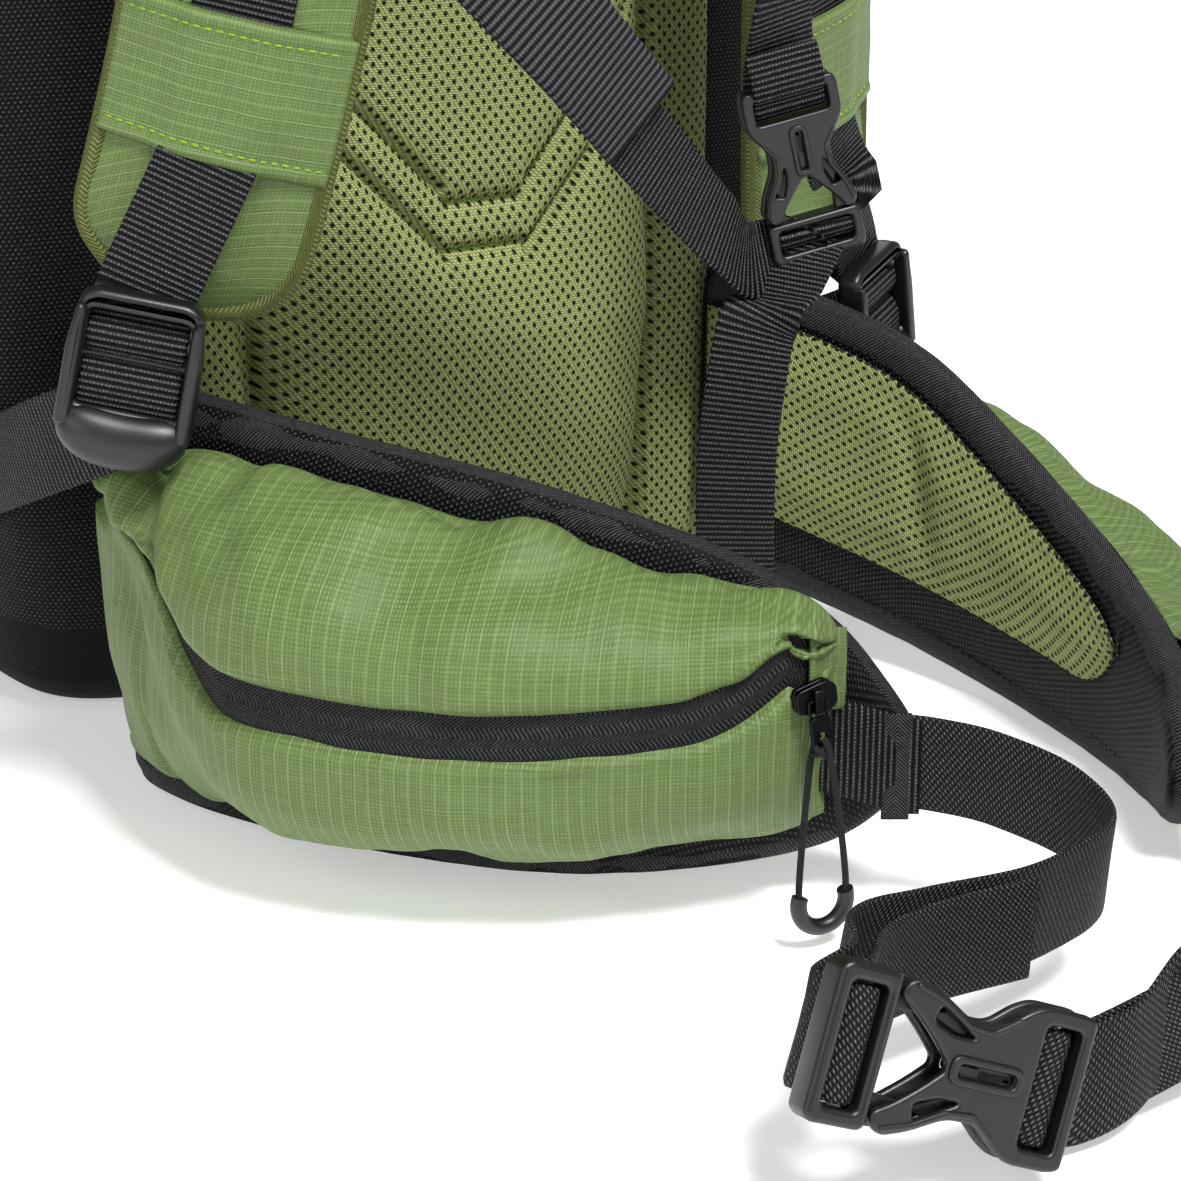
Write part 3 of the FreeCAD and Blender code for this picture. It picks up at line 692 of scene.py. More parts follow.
def fin_core(fin):
    """The foam wall of the fin in its black cover, thinner along its edges."""
    s = np.linspace(0, fin.s[-1], 110)
    f = np.linspace(-1, 1, 34)
    half = 3.4 + (FIN_T / 2 - 3.4) * (1 - np.abs(f) ** 5)
    ring_f = np.r_[f, f[::-1]]
    ring_n = -FIN_T / 2 + np.r_[half, -half[::-1] * 0.86]
    middle = (fin.low(s) + fin.high(s)) / 2
    reach = (fin.high(s) - fin.low(s)) / 2 - 0.5
    z = middle[:, None] + reach[:, None] * ring_f[None]
    points = fin.at(s[:, None], ring_n[None, :], z)
    points = roughened(points, fin.away(s)[:, None], 24, 0.3, 3)
    obj = grid("hip_fin_core_" + fin.name, points, closed=True, caps=True)
    piece(obj, BALLISTIC, "pack", "bag_nylon", "hip_fin_" + fin.name)


def fin_binding(fin):
    """The tape folded over the fin's edge, along the top, round the tip and back along the bottom."""
    s = np.linspace(2, fin.s[-1], 130)
    top = fin.at(s, -FIN_T / 2, fin.high(s) - 2.4)
    low = fin.at(s, -FIN_T / 2, fin.low(s) + 2.4)
    tip_z = np.linspace(fin.high(s[-1]) - 3.4, fin.low(s[-1]) + 3.4, 14)[1:-1]
    end = fin.at(fin.s[-1], -FIN_T / 2, tip_z)
    end = end + fin.tip_way * (2.2 * np.sin(np.linspace(0, math.pi, len(end))))[:, None]
    path = resample(np.concatenate([top[:-1], end, low[::-1]]), 1.8)
    nearest = np.array([fin.s[np.argmin(np.sum((fin.xy - p[:2]) ** 2, 1))] for p in path])
    away = fin.away(nearest)
    inward = np.cross(away, unit_rows(np.gradient(path, axis=0)))
    ring = [(4.4, -6.6), (4.7, -4.6), (4.5, -1.0), (3.4, 1.6), (1.6, 2.9), (0, 3.2),
            (-1.6, 2.9), (-3.4, 1.6), (-4.5, -1.0), (-4.7, -4.6), (-4.4, -6.6), (0, -5.6)]
    sign = 1 if np.dot(inward[len(top) // 2], (0, 0, 1)) > 0 else -1
    points = np.array([[p + a * n + sign * up * z for n, z in ring] for p, a, up in zip(path, away, inward)])
    points = roughened(points, away[:, None], 9, 0.22, 5)
    obj = grid("hip_binding_" + fin.name, points, closed=True, caps=True)
    piece(obj, BINDING, "pack", "bag_nylon")
    seam = path - inward * sign * 5.2
    for k, n in enumerate((4.75, -4.75)):
        row = seam + away * n
        thread = stitches("hip_binding_thread_%s_%d" % (fin.name, k), row, away * np.sign(n), 3.0, 2.1, 0.3)
        piece(thread, BLACK_THREAD, "pack", "bag_nylon")


def fin_mesh(fin, start, stop, low_gap, high_gap):
    """The mesh panel on the side of the fin that faces the wearer, with rounded corners and a soft crease."""
    s = np.linspace(start, stop, 120)
    f = np.linspace(0, 1, 56)
    near = np.clip((stop - s) / 26.0, 0, 1)
    pinch = 1 - np.sqrt(1 - (1 - near) ** 2)
    low = fin.low(s) + low_gap + pinch * 22
    high = fin.high(s) - high_gap - pinch * 8
    z = low[:, None] + (high - low)[:, None] * f[None]
    edge = np.minimum(np.minimum(f, 1 - f)[None] * (high - low)[:, None],
                      np.minimum(s - start, stop - s)[:, None])
    puff = 3.0 * smoothstep(edge, 0, 16) + 1.1 * smoothstep(edge, 0, 1.5)
    crease_at = start + 0.40 * (stop - start) + 16 * (1 - f)
    crease = 2.8 * np.exp(-((s[:, None] - crease_at[None]) / 6.0) ** 2) * smoothstep(edge, 2, 16)
    n = -FIN_T + 0.4 - puff + crease
    points = fin.at(s[:, None], n, z)
    points = roughened(points, fin.away(s)[:, None], 26, 0.35, 6)
    obj = grid("hip_mesh_" + fin.name, points, outward=False)
    piece(obj, MESH, "pack", "spacer_mesh")
    rim = np.concatenate([points[::2, 0], points[-1, ::2], points[::-2, -1]])
    away = fin.away(np.concatenate([s[::2], np.full(28, s[-1]), s[::-2]]))
    thread = stitches("hip_mesh_thread_" + fin.name, rim - away * 0.3, -away, 3.0, 2.2, 0.32)
    piece(thread, BLACK_THREAD, "pack", "bag_nylon")


ZIPS = {LEFT: [(1, -322, 65), (-78, -299, 57), (-138, -214, 60)],
        RIGHT: [(121, -333, 30), (163, -268, 33), (152, -188, 50)]}


def arc_through(a, b, c):
    """The centre, axis and radius of the circle through three points."""
    a, b, c = (np.array(p, float) for p in (a, b, c))
    u, v = b - a, c - a
    n = np.cross(u, v)
    centre = a + (np.cross(n, u) * v.dot(v) + np.cross(v, n) * u.dot(u)) / (2 * n.dot(n))
    return centre, unit(n), np.linalg.norm(a - centre)


def arc_over(fin, s, arc):
    """How far out of the fin its zip's circle is at s, and the height of the zip there."""
    centre, axis, radius = arc
    low, high = np.zeros_like(s), np.full_like(s, 80.0)
    for _ in range(30):
        n = (low + high) / 2
        p = fin.at(s, n, 0.0)
        z = centre[2] - ((p[..., 0] - centre[0]) * axis[0] + (p[..., 1] - centre[1]) * axis[1]) / axis[2]
        p[..., 2] = z
        inside = np.linalg.norm(p - centre, axis=-1) < radius
        low, high = np.where(inside, n, low), np.where(inside, high, n)
    return n, z


def fin_span(fin, first, last):
    """Distances along the fin of two of its CAD stations, which are a quarter of a control row apart."""
    rows = np.array(FINS[fin.side], float)[:, :2]
    marks = []
    for index in (first, last):
        k, t = divmod(index, 4)
        a = rows[k]
        b = rows[min(k + 1, len(rows) - 1)]
        near = a + (b - a) * t / 4
        marks.append(fin.s[np.argmin(np.sum((fin.xy - near) ** 2, 1))])
    return marks


def pocket_profile(depth, low, high, zip_z, gap, flare):
    """The upper and lower panel of a pocket at one station, as rows of (out, height).

    gap is half the opening that shows the zip tape, and flare tells how upright the upper panel stands.
    """
    rise = high - zip_z - gap
    drop = zip_z - gap - low
    sink = 2.6 * gap / 6.2
    top = zip_z + gap
    bottom = zip_z - gap
    upper = [(depth - sink, zip_z + gap * 0.8), (depth - 0.4 * sink, top), (depth + 0.6, top + 1.5),
             (depth + 0.8, top + 0.16 * rise), (depth * 0.98, top + 0.36 * rise),
             (depth * (0.84 + 0.1 * flare), top + 0.62 * rise),
             (depth * (0.56 + 0.2 * flare), top + 0.85 * rise),
             (depth * (0.24 + 0.1 * flare), high + 0.4), (0.4, high - 1.0)]
    lower = [(0.4, low - 0.5), (depth * 0.34, low + 1.6), (depth * 0.68, low + 0.19 * drop),
             (depth * 0.91, low + 0.38 * drop), (depth * 1.01, low + 0.62 * drop),
             (depth + 0.4, bottom - 3.0), (depth + 0.4, bottom - 0.8), (depth - 0.4 * sink, bottom),
             (depth - sink, zip_z - gap * 0.8)]
    return upper, lower


def dense(profile, count):
    """A profile's smooth curve as a number of evenly spaced points."""
    rows = np.array([(n, z, 0) for n, z in profile], float)
    fine = resample(rows, 0.6)
    along = lengths(fine[:, :2])
    at = np.linspace(0, along[-1], count)
    return np.stack([np.interp(at, along, fine[:, k]) for k in (0, 1)], 1)


def pocket_wrinkles(points, fin, s, start, stop, strength, side_up):
    """Folds of thin cloth: strong ones by the back end, puckers along the top seam, faint ones elsewhere."""
    t = ((s - start) / (stop - start))[:, None]
    z = points[..., 2]
    slant = s[:, None] * 0.95 + z * 0.5
    ridges = np.array([[noise.noise(Vector((a / 12.0, b / 60.0, fin.side * 3.1))) for a, b in zip(ra, rb)]
                       for ra, rb in zip(slant, z - s[:, None] * 0.3)])
    row = np.linspace(0, 1, points.shape[1])[None]
    seam = row if side_up else 1 - row
    pucker = np.array([[noise.noise(Vector((a / 16.0, 0.6 * b, 4.0 + fin.side))) for b in seam[0]]
                       for a in s])
    near_seam = smoothstep(seam, 0.38, 0.90)
    fine = wander(points * [1, 1, 0.6], 11, 0.5, 2.0)
    big = wander(points * [1, 1, 0.7], 34, 2.0, 8.0) * (1 - 0.7 * smoothstep(seam, 0.5, 0.9) * (not side_up))
    by_ends = 3.6 * np.exp(-((t - 0.12) / 0.11) ** 2) + 1.5 * np.exp(-((1 - t) / 0.10) ** 2)
    gathered = strength * 6.5 * pucker * near_seam * smoothstep(1 - t, 0.04, 0.16)
    return strength * (0.45 + by_ends) * ridges * 1.9 + fine + big + gathered


def hip_pocket(fin):
    """A pocket's upper and lower panel, its zip tape between them, and their stitching."""
    start, stop = fin_span(fin, 7, 22)
    ends = 38.0 if fin.side == LEFT else 24.0
    arc = arc_through(*ZIPS[fin.side])
    s = np.linspace(start, stop - 1.5, 190)
    depth, zip_z = arc_over(fin, s, arc)
    body = np.clip(depth - 1.0, 2.0, 3.0 + 0.56 * (s - start))
    body = body * (0.16 + 0.84 * smoothstep(stop - s, 0.5, 8.0))
    open_zip = smoothstep(s - start, ends - 4, ends + 26) * smoothstep(stop - s, 4, 9)
    gap = 0.35 + 6.4 * np.sqrt(open_zip)
    zip_z = zip_z + 22.0 * (1 - smoothstep(s - start, ends - 6, ends + 30))
    turn = np.clip((s - stop + 36.0) / 33.0, 0, 1)
    zip_z = zip_z + 28.0 * (1 - np.sqrt(1 - 0.96 * turn ** 2))
    low = fin.low(s) + 11.5
    flare = smoothstep(s, stop - 50, stop - 12)
    high = fin.high(s) - 9.5 + 8.5 * flare
    zip_z = np.minimum(zip_z, high - gap - 2.5)
    fold = 3.6 * np.exp(-((s - start - 0.74 * ends) / 3.2) ** 2)
    uppers, lowers = [], []
    for k in range(len(s)):
        upper, lower = pocket_profile(body[k], low[k], high[k], zip_z[k], gap[k], flare[k])
        uppers.append(dense(upper, 52))
        lowers.append(dense(lower, 46))
    for label, rows, strength in (("top", np.array(uppers), 1.0), ("front", np.array(lowers), 0.55)):
        points = fin.at(s[:, None], rows[..., 0], rows[..., 1])
        n = normals_of(points)
        n *= np.sign(np.sum(n[95, 20] * fin.away(s[95])))
        fade = np.ones(rows.shape[1])
        inner = slice(0, 4) if label == "top" else slice(-4, None)
        outer = slice(-3, None) if label == "top" else slice(0, 3)
        fade[inner] = 0.15
        fade[outer] = 0.4
        crease = fold[:, None] * smoothstep(rows[..., 0], 4, 12) * (0.6 + 0.4 * np.sin(rows[..., 1] / 17.0))
        wrinkles = pocket_wrinkles(points, fin, s, start, stop, strength, label == "top")
        points = points + n * (wrinkles * fade[None] - crease)[..., None]
        obj = grid("hip_pocket_%s_%s" % (label, fin.name), points, u=rows[..., 1] - 40, v=s, outward=False)
        thicken(obj, 0.6)
        nodes = ("hip_pocket_" + fin.name,) if label == "top" else ()
        piece(obj, GREEN, "pack", "ripstop", *nodes)
    shown = gap > 0.9
    f = np.linspace(-1, 1, 17)
    n = body[shown, None] - 2.6 + 1.0 * (1 - f[None] ** 2) + 0.35 * np.exp(-(f[None] / 0.07) ** 2)
    tape = fin.at(s[shown, None], n, zip_z[shown, None] + (gap[shown, None] + 1.6) * f[None])
    tape = roughened(tape, fin.away(s[shown])[:, None], 12, 0.35, 4)
    obj = grid("hip_zip_tape_" + fin.name, tape, outward=False)
    thicken(obj, 0.8)
    piece(obj, ZIP_TAPE, "pack", "zip_tape", "hip_zip_" + fin.name)
    seam = tape[:, 8] + fin.away(s[shown]) * 0.35
    coil = stitches("hip_zip_coil_" + fin.name, seam, fin.away(s[shown]), 1.5, 0.9, 0.42)
    piece(coil, BLACK_THREAD, "pack", "zip_tape")
    pocket_hem(fin, s, body, high)


def pocket_hem(fin, s, body, high):
    """The folded end of the pocket cloth beyond the zip."""
    last = s[-1]
    at = np.linspace(last - 4.0, last + 4.5, 14)
    f = np.linspace(0, 1, 16)
    n = np.interp(at, [last - 4, last, last + 4.5], [body[-8] * 0.9, 7.0, 3.4])
    top = np.interp(last - 3, s, high) + 1.0
    z = (top - 21.0 * f[None]) - 0.35 * (at - last)[:, None]
    points = fin.at(np.minimum(at, fin.s[-1])[:, None], n[:, None] + 1.2 * np.sin(3.1 * f)[None], z)
    points = roughened(points, fin.away(at)[:, None], 9, 0.9, 5)
    obj = grid("hip_pocket_hem_" + fin.name, points, outward=False)
    thicken(obj, 1.2)
    piece(obj, GREEN, "pack", "ripstop")


def zip_slider(name):
    """A zip slider: two cheeks on a low wedge, and the bridge that holds the pull."""
    outline = rounded([(-5, -3), (3.5, -4.2), (6, -2.5), (6, 2.5), (3.5, 4.2), (-5, 3)], 1.4)
    base = plate(name, [outline], 0.0, 1.5, 0.35)
    cap = plate(name, [outline], 1.9, 3.3, 0.4)
    neck = plate(name, [rounded([(1, -1.2), (5, -1.2), (5, 1.2), (1, 1.2)], 0.5)], 1.0, 2.6, 0.1)
    bridge = rounded([(-3.2, 3.0), (-3.2, 5.6), (3.2, 5.6), (3.2, 3.0),
                      (2.0, 3.0), (2.0, 4.5), (-2.0, 4.5), (-2.0, 3.0)], 0.6)
    arch = plate(name, [bridge], -1.1, 1.1, 0.25)
    arch.data.transform(Matrix(((0, 0, 1, 0), (1, 0, 0, 0), (0, 1, 0, 0), (0, 0, 0, 1))))
    return joined(name, [base, cap, neck, arch])


def zip_pull(name, length):
    """A flat pull tab on a wire loop, along +X from the pin under the bridge."""
    outline = rounded([(4.0, -2.7), (length, -2.7), (length + 1.5, -1.2),
                       (length + 1.5, 1.2), (length, 2.7), (4.0, 2.7)], 1.2)
    turns = np.linspace(0, 2 * math.pi, 18, endpoint=False)
    hole = [(length - 1.6 + 1.3 * math.cos(a), 1.3 * math.sin(a)) for a in turns]
    tab = plate(name, [outline, hole], 3.5, 4.8, 0.3)
    half = [(4.6, -2.25, 3.85), (2.5, -2.3, 3.85), (0.6, -2.4, 3.85), (0, -2.1, 3.85)]
    other = [(x, -y, z) for x, y, z in reversed(half)]
    loop = tube(name, half + [(0, 0, 3.85)] + other, 0.42, sides=8)
    return joined(name, [tab, loop])


def hip_zip_hardware(fin):
    """The slider and pull, where their CAD nodes are; also where they sit and which way they face."""
    name = fin.name
    slider_mid = cad_middle("hip_slider_" + name)
    centre, axis, _ = arc_through(*ZIPS[fin.side])
    out = slider_mid - centre
    out -= axis * out.dot(axis)
    along = unit(np.cross(out, axis))
    face = unit(np.array([along[1], -along[0], 0]))
    face *= 1 if face.dot(out) > 0 else -1
    seat = slider_mid - face * 2.8
    slider = put(zip_slider("hip_zip_slider_" + name), seat, along, face)
    piece(slider, LACQUER, "hip_slider_%s_body" % name, "slider_metal", "hip_slider_" + name)
    down = np.cross(along, face)
    down *= -1 if down[2] > 0 else 1
    pull = put(zip_pull("hip_zip_pull_" + name, 11.0), seat, down, face)
    piece(pull, LACQUER, "hip_pull_%s_body" % name, "slider_metal", "hip_pull_" + name)
    return seat, along, face, down


def nurbs_line(route):
    """Points along the smooth spline that has the route's points, in mm, as its control points."""
    curve = bpy.data.curves.new("route", "CURVE")
    curve.dimensions = "3D"
    spline = curve.splines.new("NURBS")
    spline.points.add(len(route) - 1)
    for point, at in zip(spline.points, route):
        point.co = (*at, 1)
    spline.order_u = 3
    spline.use_endpoint_u = True
    obj = bpy.data.objects.new("route", curve)
    mesh = bpy.data.meshes.new_from_object(obj)
    line = np.array([tuple(v.co) for v in mesh.vertices])
    bpy.data.meshes.remove(mesh)
    bpy.data.objects.remove(obj)
    bpy.data.curves.remove(curve)
    return line


PULL_CORD = 1.7


def cord_and_ring(seat, face, down):
    """The loop of thin cord on the left pull and the open tube that it runs through."""
    hole = seat + face * 4.15 + down * 9.4
    across = unit(np.cross((0, 0, 1), face))
    rest_z, radius, out = 12.0, 6.6, 2.6
    drop = hole[2] - rest_z
    middle = np.array([hole[0], hole[1], rest_z]) + face * out

    def place(points):
        points = np.asarray(points, float)
        return middle + points[:, :1] * across + points[:, 1:2] * np.array([0, 0, 1.0]) + points[:, 2:] * face

    route = [(0, drop, -out + 1.2), (0.9, drop - 2.2, 0), (4.0, drop * 0.55, 0),
             (6.9, 2.4, 0), (5.9, -4.1, 0), (0, -7.4, 0), (-5.9, -4.1, 0), (-6.9, 2.4, 0),
             (-4.0, drop * 0.55, -out), (-0.9, drop - 2.2, -2 * out), (0, drop, -out - 1.2)]
    line = nurbs_line(place(route))
    cord = tube("pull_cord", line, PULL_CORD / 2, up=face)
    piece(cord, CORD, "hip_pull_left_body", "cord", "cord_loop")
    turns = np.linspace(0, 4 * math.pi, 60)
    swing = 1.5 + 0.5 * np.cos(1.5 * turns)
    knot = np.stack([swing * np.cos(turns), np.sin(1.5 * turns) - 3.4 + drop, swing * np.sin(turns) - out], 1)
    knot = tube("pull_cord_knot", place(knot), PULL_CORD / 2, closed=True, up=face)
    piece(knot, CORD, "hip_pull_left_body", "cord")
    a = np.radians(np.linspace(160, 380, 40))
    arc = np.stack([radius * np.cos(a), radius * np.sin(a), 0 * a], 1)
    ring = tube("pull_ring", place(arc), 2.1, sides=16, up=face)
    edge_shading(ring)
    piece(ring, PLASTIC, "hip_pull_left_body", "buckle_plastic", "open_ring")


def hip_anchor(fin):
    """The webbing patch sewn on the fin's tip, and its keeper."""
    s0, s1 = fin_span(fin, 22, 24)
    s = np.linspace(s0 - 4, s1 + 3.0, 30)
    f = np.linspace(0, 1, 12)
    low = np.interp(s, fin.s, fin.middle) - 12.5
    z = low[:, None] + 25.0 * f[None]
    n = 1.6 + 0.5 * (1 - np.abs(2 * f - 1) ** 6)[None] + 0 * s[:, None]
    points = fin.at(np.minimum(s, fin.s[-1])[:, None], n, z)
    beyond = np.clip(s - fin.s[-1], 0, None)[:, None, None]
    points = points + beyond * fin.tip_way
    obj = grid("hip_anchor_" + fin.name, points, outward=False)
    thicken(obj, 1.6)
    piece(obj, WEBBING, "pack", "webbing", *once(fin.side, "hip_anchors"))
    keep = fin.at(np.full(20, s1 - 3.0), 3.0, np.linspace(low[-4] - 1.5, low[-4] + 26.5, 20))
    stations = [tuple(p) + tuple(fin.tip_way) for p in keep]
    keeper = webbing("hip_keeper_" + fin.name, stations, 7.0, 1.4, 1.5)
    piece(keeper, BINDING, "pack", "webbing")


# Buckles

def buckle_female(name, k):
    """The receiving half: two X-shaped cheeks with side windows, a rimmed centre slot, and a webbing bar."""
    outline = sized(rounded(mirrored([(31, 16.0), (28, 17), (18, 17), (14, 15), (8.5, 10.4), (1, 10.6),
                                      (-7, 14.8), (-13, 16.7), (-16, 15.2), (-16.5, 12), (-12.5, 9.8),
                                      (-6.5, 5.0), (-2.2, 0.9)]), 2.4), k)
    web_slot = sized(rounded([(19.2, -13.2), (28.0, -13.2), (28.0, 13.2), (19.2, 13.2)], 1.6), k)
    centre = sized(rounded([(0.5, -1.3), (14.5, -1.3), (14.5, 1.3), (0.5, 1.3)], 1.3), k)
    window = rounded([(-7.5, 8.8), (-2.0, 6.8), (3.2, 6.8), (-1.0, 9.2), (-6.5, 12.2)], 1.2)
    windows = [sized(window, k, flip) for flip in (1, -1)]
    front = plate(name, [outline, web_slot, centre] + windows, 2.3 * k, 4.7 * k, 0.95 * k)
    back = plate(name, [outline, web_slot, centre], -4.7 * k, -2.3 * k, 0.95 * k)
    block = sized(rounded(mirrored([(30.0, 15.4), (19, 16.2), (14, 14), (9.5, 10.2), (5.5, 9.4)]), 1.8), k)
    core = plate(name, [block, web_slot, centre], -3.4 * k, 3.4 * k, 0.6 * k)
    rim = plate(name, [sized(rounded([(-1.6, -3.2), (16.4, -3.2), (16.4, 3.2), (-1.6, 3.2)], 3.1), k),
                       sized(rounded([(0.4, -1.5), (14.6, -1.5), (14.6, 1.5), (0.4, 1.5)], 1.4), k)],
                4.2 * k, 5.5 * k, 0.55 * k)
    rib = rounded([(-14, 14.6), (-7, 12.6), (0.4, 8.6), (7, 8.0), (13, 12.4), (12.4, 13.4), (6.6, 9.4),
                   (1.0, 9.8), (-6.6, 13.8), (-13.4, 15.8)], 0.8)
    ribs = [plate(name, [sized(rib, k, flip)], 4.3 * k, 5.2 * k, 0.4 * k) for flip in (1, -1)]
    return joined(name, [front, back, core, rim] + ribs)


def buckle_male(name, k):
    """The inserted half: a webbing frame and two sprung arms, each with a hook."""
    frame_outline = sized(rounded(mirrored([(-16.6, 16.8), (-29.5, 17.0), (-31.4, 15.5)]), 2.6), k)
    slot = sized(rounded([(-28.0, -13.2), (-19.4, -13.2), (-19.4, 13.2), (-28.0, 13.2)], 1.6), k)
    parts = [plate(name, [frame_outline, slot], -4.2 * k, 4.4 * k, 1.3 * k)]
    arm = rounded([(-18, 8.6), (-18, 13.8), (-10, 14.6), (-5, 13.2), (2.4, 8.6), (3.2, 6.6), (0.2, 6.2),
                   (-7, 9.4)], 1.4)
    eye = rounded([(-10.5, 11.6), (-6.5, 10.6), (-4.0, 11.2), (-7.5, 12.8)], 0.8)
    for flip in (1, -1):
        parts.append(plate(name, [sized(arm, k, flip), sized(eye, k, flip)], -1.9 * k, 1.9 * k, 0.6 * k))
    return joined(name, parts)


def buckle_pair(prefix, at, along, face, k, male_body):
    """Both halves of a side-release buckle, k times the size of the hip belt's."""
    for half, shape, body in (("_female", buckle_female, "pack"), ("_male", buckle_male, male_body)):
        obj = put(shape(prefix + half + "_shape", k), at, along, face)
        edge_shading(obj)
        piece(obj, PLASTIC, body, "buckle_plastic", prefix + half)


HIP_BUCKLE_AT = np.array([-54, -437, 30.0])
HIP_BUCKLE_ALONG = unit([0.91, -0.20, -0.37])
HIP_BUCKLE_FACE = square_to((-0.12, -0.89, 0.22), HIP_BUCKLE_ALONG)
HIP_BUCKLE_ACROSS = np.cross(HIP_BUCKLE_FACE, HIP_BUCKLE_ALONG)
HIP_BUCKLE_ACROSS *= np.sign(HIP_BUCKLE_ACROSS[2])


def hip_webbing():
    """The belt's webbing on both sides, doubled back at the buckle."""
    def at(x, z):
        return tuple(HIP_BUCKLE_AT + HIP_BUCKLE_ALONG * x + HIP_BUCKLE_FACE * z) + tuple(HIP_BUCKLE_ACROSS)

    left = webbing("hip_webbing_left_loop", [
        (14, -318, 40, 0, 0, 1), (24, -325, 39, 0, 0, 1), (35, -337, 37, 0, 0, 1), (43, -356, 33, 0, 0, 1),
        (36, -377, 30, 0.1, 0, 1), (10, -388, 30, 0.1, 0, 1), (-24, -390, 32, 0.1, 0, 1),
        (-42, -392, 34, 0.1, 0, 1), (-53, -398, 35, 0.2, 0, 1), (-61, -409, 36, 0.3, 0, 1),
        at(-26.5, -14), at(-27.6, -6.5), at(-27.5, -1), at(-26.0, 1.9), at(-23.7, 2.6), at(-21.2, 1.9),
        at(-19.9, -1), at(-20.2, -7), at(-21, -14), (-60, -414, 34, 0.3, 0, 1),
        (-48, -403, 33, 0.2, 0, 1), (-26, -396, 31, 0.1, 0, 1), (2, -393.5, 29, 0.1, 0, 1)],
        HIP_WEB, sway=0.8)
    piece(left, BELT_WEBBING, None, "webbing", "hip_webbing_left", "hip_webbing_tail")
    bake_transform(left)
    right = webbing("hip_webbing_right_loop", [
        (62, -417, 26, 0, 0.1, 1), (40, -424, 26, 0, 0.1, 1), (18, -430, 25, 0, 0.1, 1),
        (-3, -437, 18, 0.25, 0.1, 1), at(37, -7.5), at(30.5, -6.6), at(28.0, -4), at(27.5, -1), at(26.0, 1.9),
        at(23.6, 2.6), at(21.2, 1.9), at(19.8, -1), at(20.6, -7), at(26, -10.5), at(36, -11.0),
        (-2, -434, 17, 0.25, 0.1, 1), (24, -434, 22, 0, 0.1, 1), (50, -431, 22, 0, 0.1, 1),
        (84, -408, 23, 0, 0, 1), (102, -374, 25, 0, 0, 1), (98, -348, 25, 0, 0, 1), (96, -338, 25, 0, 0, 1)],
        HIP_WEB, sway=0.8, seed=4.0)
    piece(right, BELT_WEBBING, "pack", "webbing", "hip_webbing_right")


def hip_belt():
    for side in (LEFT, RIGHT):
        fin = Fin(side)
        fin_core(fin)
        fin_binding(fin)
        span = fin.s[-1]
        share, low_gap = (0.8, 20) if side == LEFT else (0.76, 22)
        fin_mesh(fin, 3.0, span * share, low_gap, 9.5)
        hip_pocket(fin)
        hip_anchor(fin)
        seat, along, face, down = hip_zip_hardware(fin)
        if side == LEFT:
            cord_and_ring(seat, face, down)
    buckle_pair("hip_buckle", HIP_BUCKLE_AT, HIP_BUCKLE_ALONG, HIP_BUCKLE_FACE, 1.0, "hip_male_body")
    hip_webbing()


# The shoulder harness

STRAPS = {
    LEFT: [(-50, -121, 472, 0.95, -0.30, 0), (-57, -148, 436, 0.93, -0.35, 0),
           (-68, -180, 385, 0.9, -0.42, 0), (-78, -194, 320, 0.88, -0.46, 0), (-87, -193, 250, 0.87, -0.5, 0),
           (-95, -186, 202, 0.87, -0.5, 0), (-105, -178, 157, 0.87, -0.5, 0),
           (-110, -174, 140, 0.87, -0.5, 0)],
    RIGHT: [(50, -121, 472, 0.95, 0.30, 0), (57, -147, 436, 0.93, 0.35, 0), (68, -173, 385, 0.91, 0.40, 0),
            (77, -182, 320, 0.91, 0.42, 0), (84, -174, 250, 0.91, 0.42, 0), (90, -163, 195, 0.91, 0.42, 0),
            (98, -152, 135, 0.91, 0.42, 0), (100, -150, 122, 0.91, 0.42, 0)],
}


class Strap:
    """A shoulder strap as a curved band.

    Points on it are given by the distance along it, the share across it and the lift off its middle.
    """

    def __init__(self, side):
        rows = resample(STRAPS[side], 2.0)
        self.side, self.name = side, SIDE_NAME[side]
        self.path = rows[:, :3]
        self.s = lengths(self.path)
        self.across, self.out = frames_along(self.path, rows[:, 3:6])
        self.out = self.out * np.where(self.out[:, 1:2] > 0, -1.0, 1.0)
        self.length = self.s[-1]

    def half_width(self, s):
        end = np.clip((self.length - s) / 24.0, 0, 1)
        top = 24.0 + 4.0 * smoothstep(s, 0, 60)
        return top * np.sqrt(np.clip(1 - (1 - end) ** 2.4, 0.0, 1)) + 0.3

    def at(self, s, f, lift):
        s, f, lift = np.broadcast_arrays(np.asarray(s, float), f, lift)
        sideways = self.pick(self.across, s) * (f * self.half_width(s))[..., None]
        return self.pick(self.path, s) + sideways + self.out_at(s) * lift[..., None]

    def pick(self, rows, s):
        return np.stack([np.interp(s, self.s, rows[:, k]) for k in range(3)], -1)

    def out_at(self, s):
        return self.pick(self.out, s)


def strap_lift(f):
    """How far the strap's face stands off its middle, at a share of the way across."""
    return 1.6 + 4.4 * (1 - np.abs(f) ** 3.2)


def strap_surfaces(strap):
    """The ripstop face of the strap, and the mesh on the side of the wearer."""
    s = np.linspace(0, strap.length - 0.5, 200)
    f = np.linspace(-1, 1, 40)
    near = np.clip((strap.length - s) / 12.0, 0, 1)[:, None]
    lift = strap_lift(f)[None] * (0.35 + 0.65 * near)
    away = strap.out_at(s)[:, None]
    face_node = "shoulder_pad_" + strap.name
    for label, side_lift, amount, seed, material, slot, nodes in (
            ("face", lift, 0.7, 3.0, GREEN, "ripstop", (face_node,)),
            ("mesh", -lift, 0.35, 6.0, MESH, "spacer_mesh", ())):
        points = roughened(strap.at(s[:, None], f[None], side_lift), away, 20, amount, seed)
        obj = grid("shoulder_%s_%s" % (label, strap.name), points, outward=False)
        piece(obj, material, "pack", slot, *nodes)


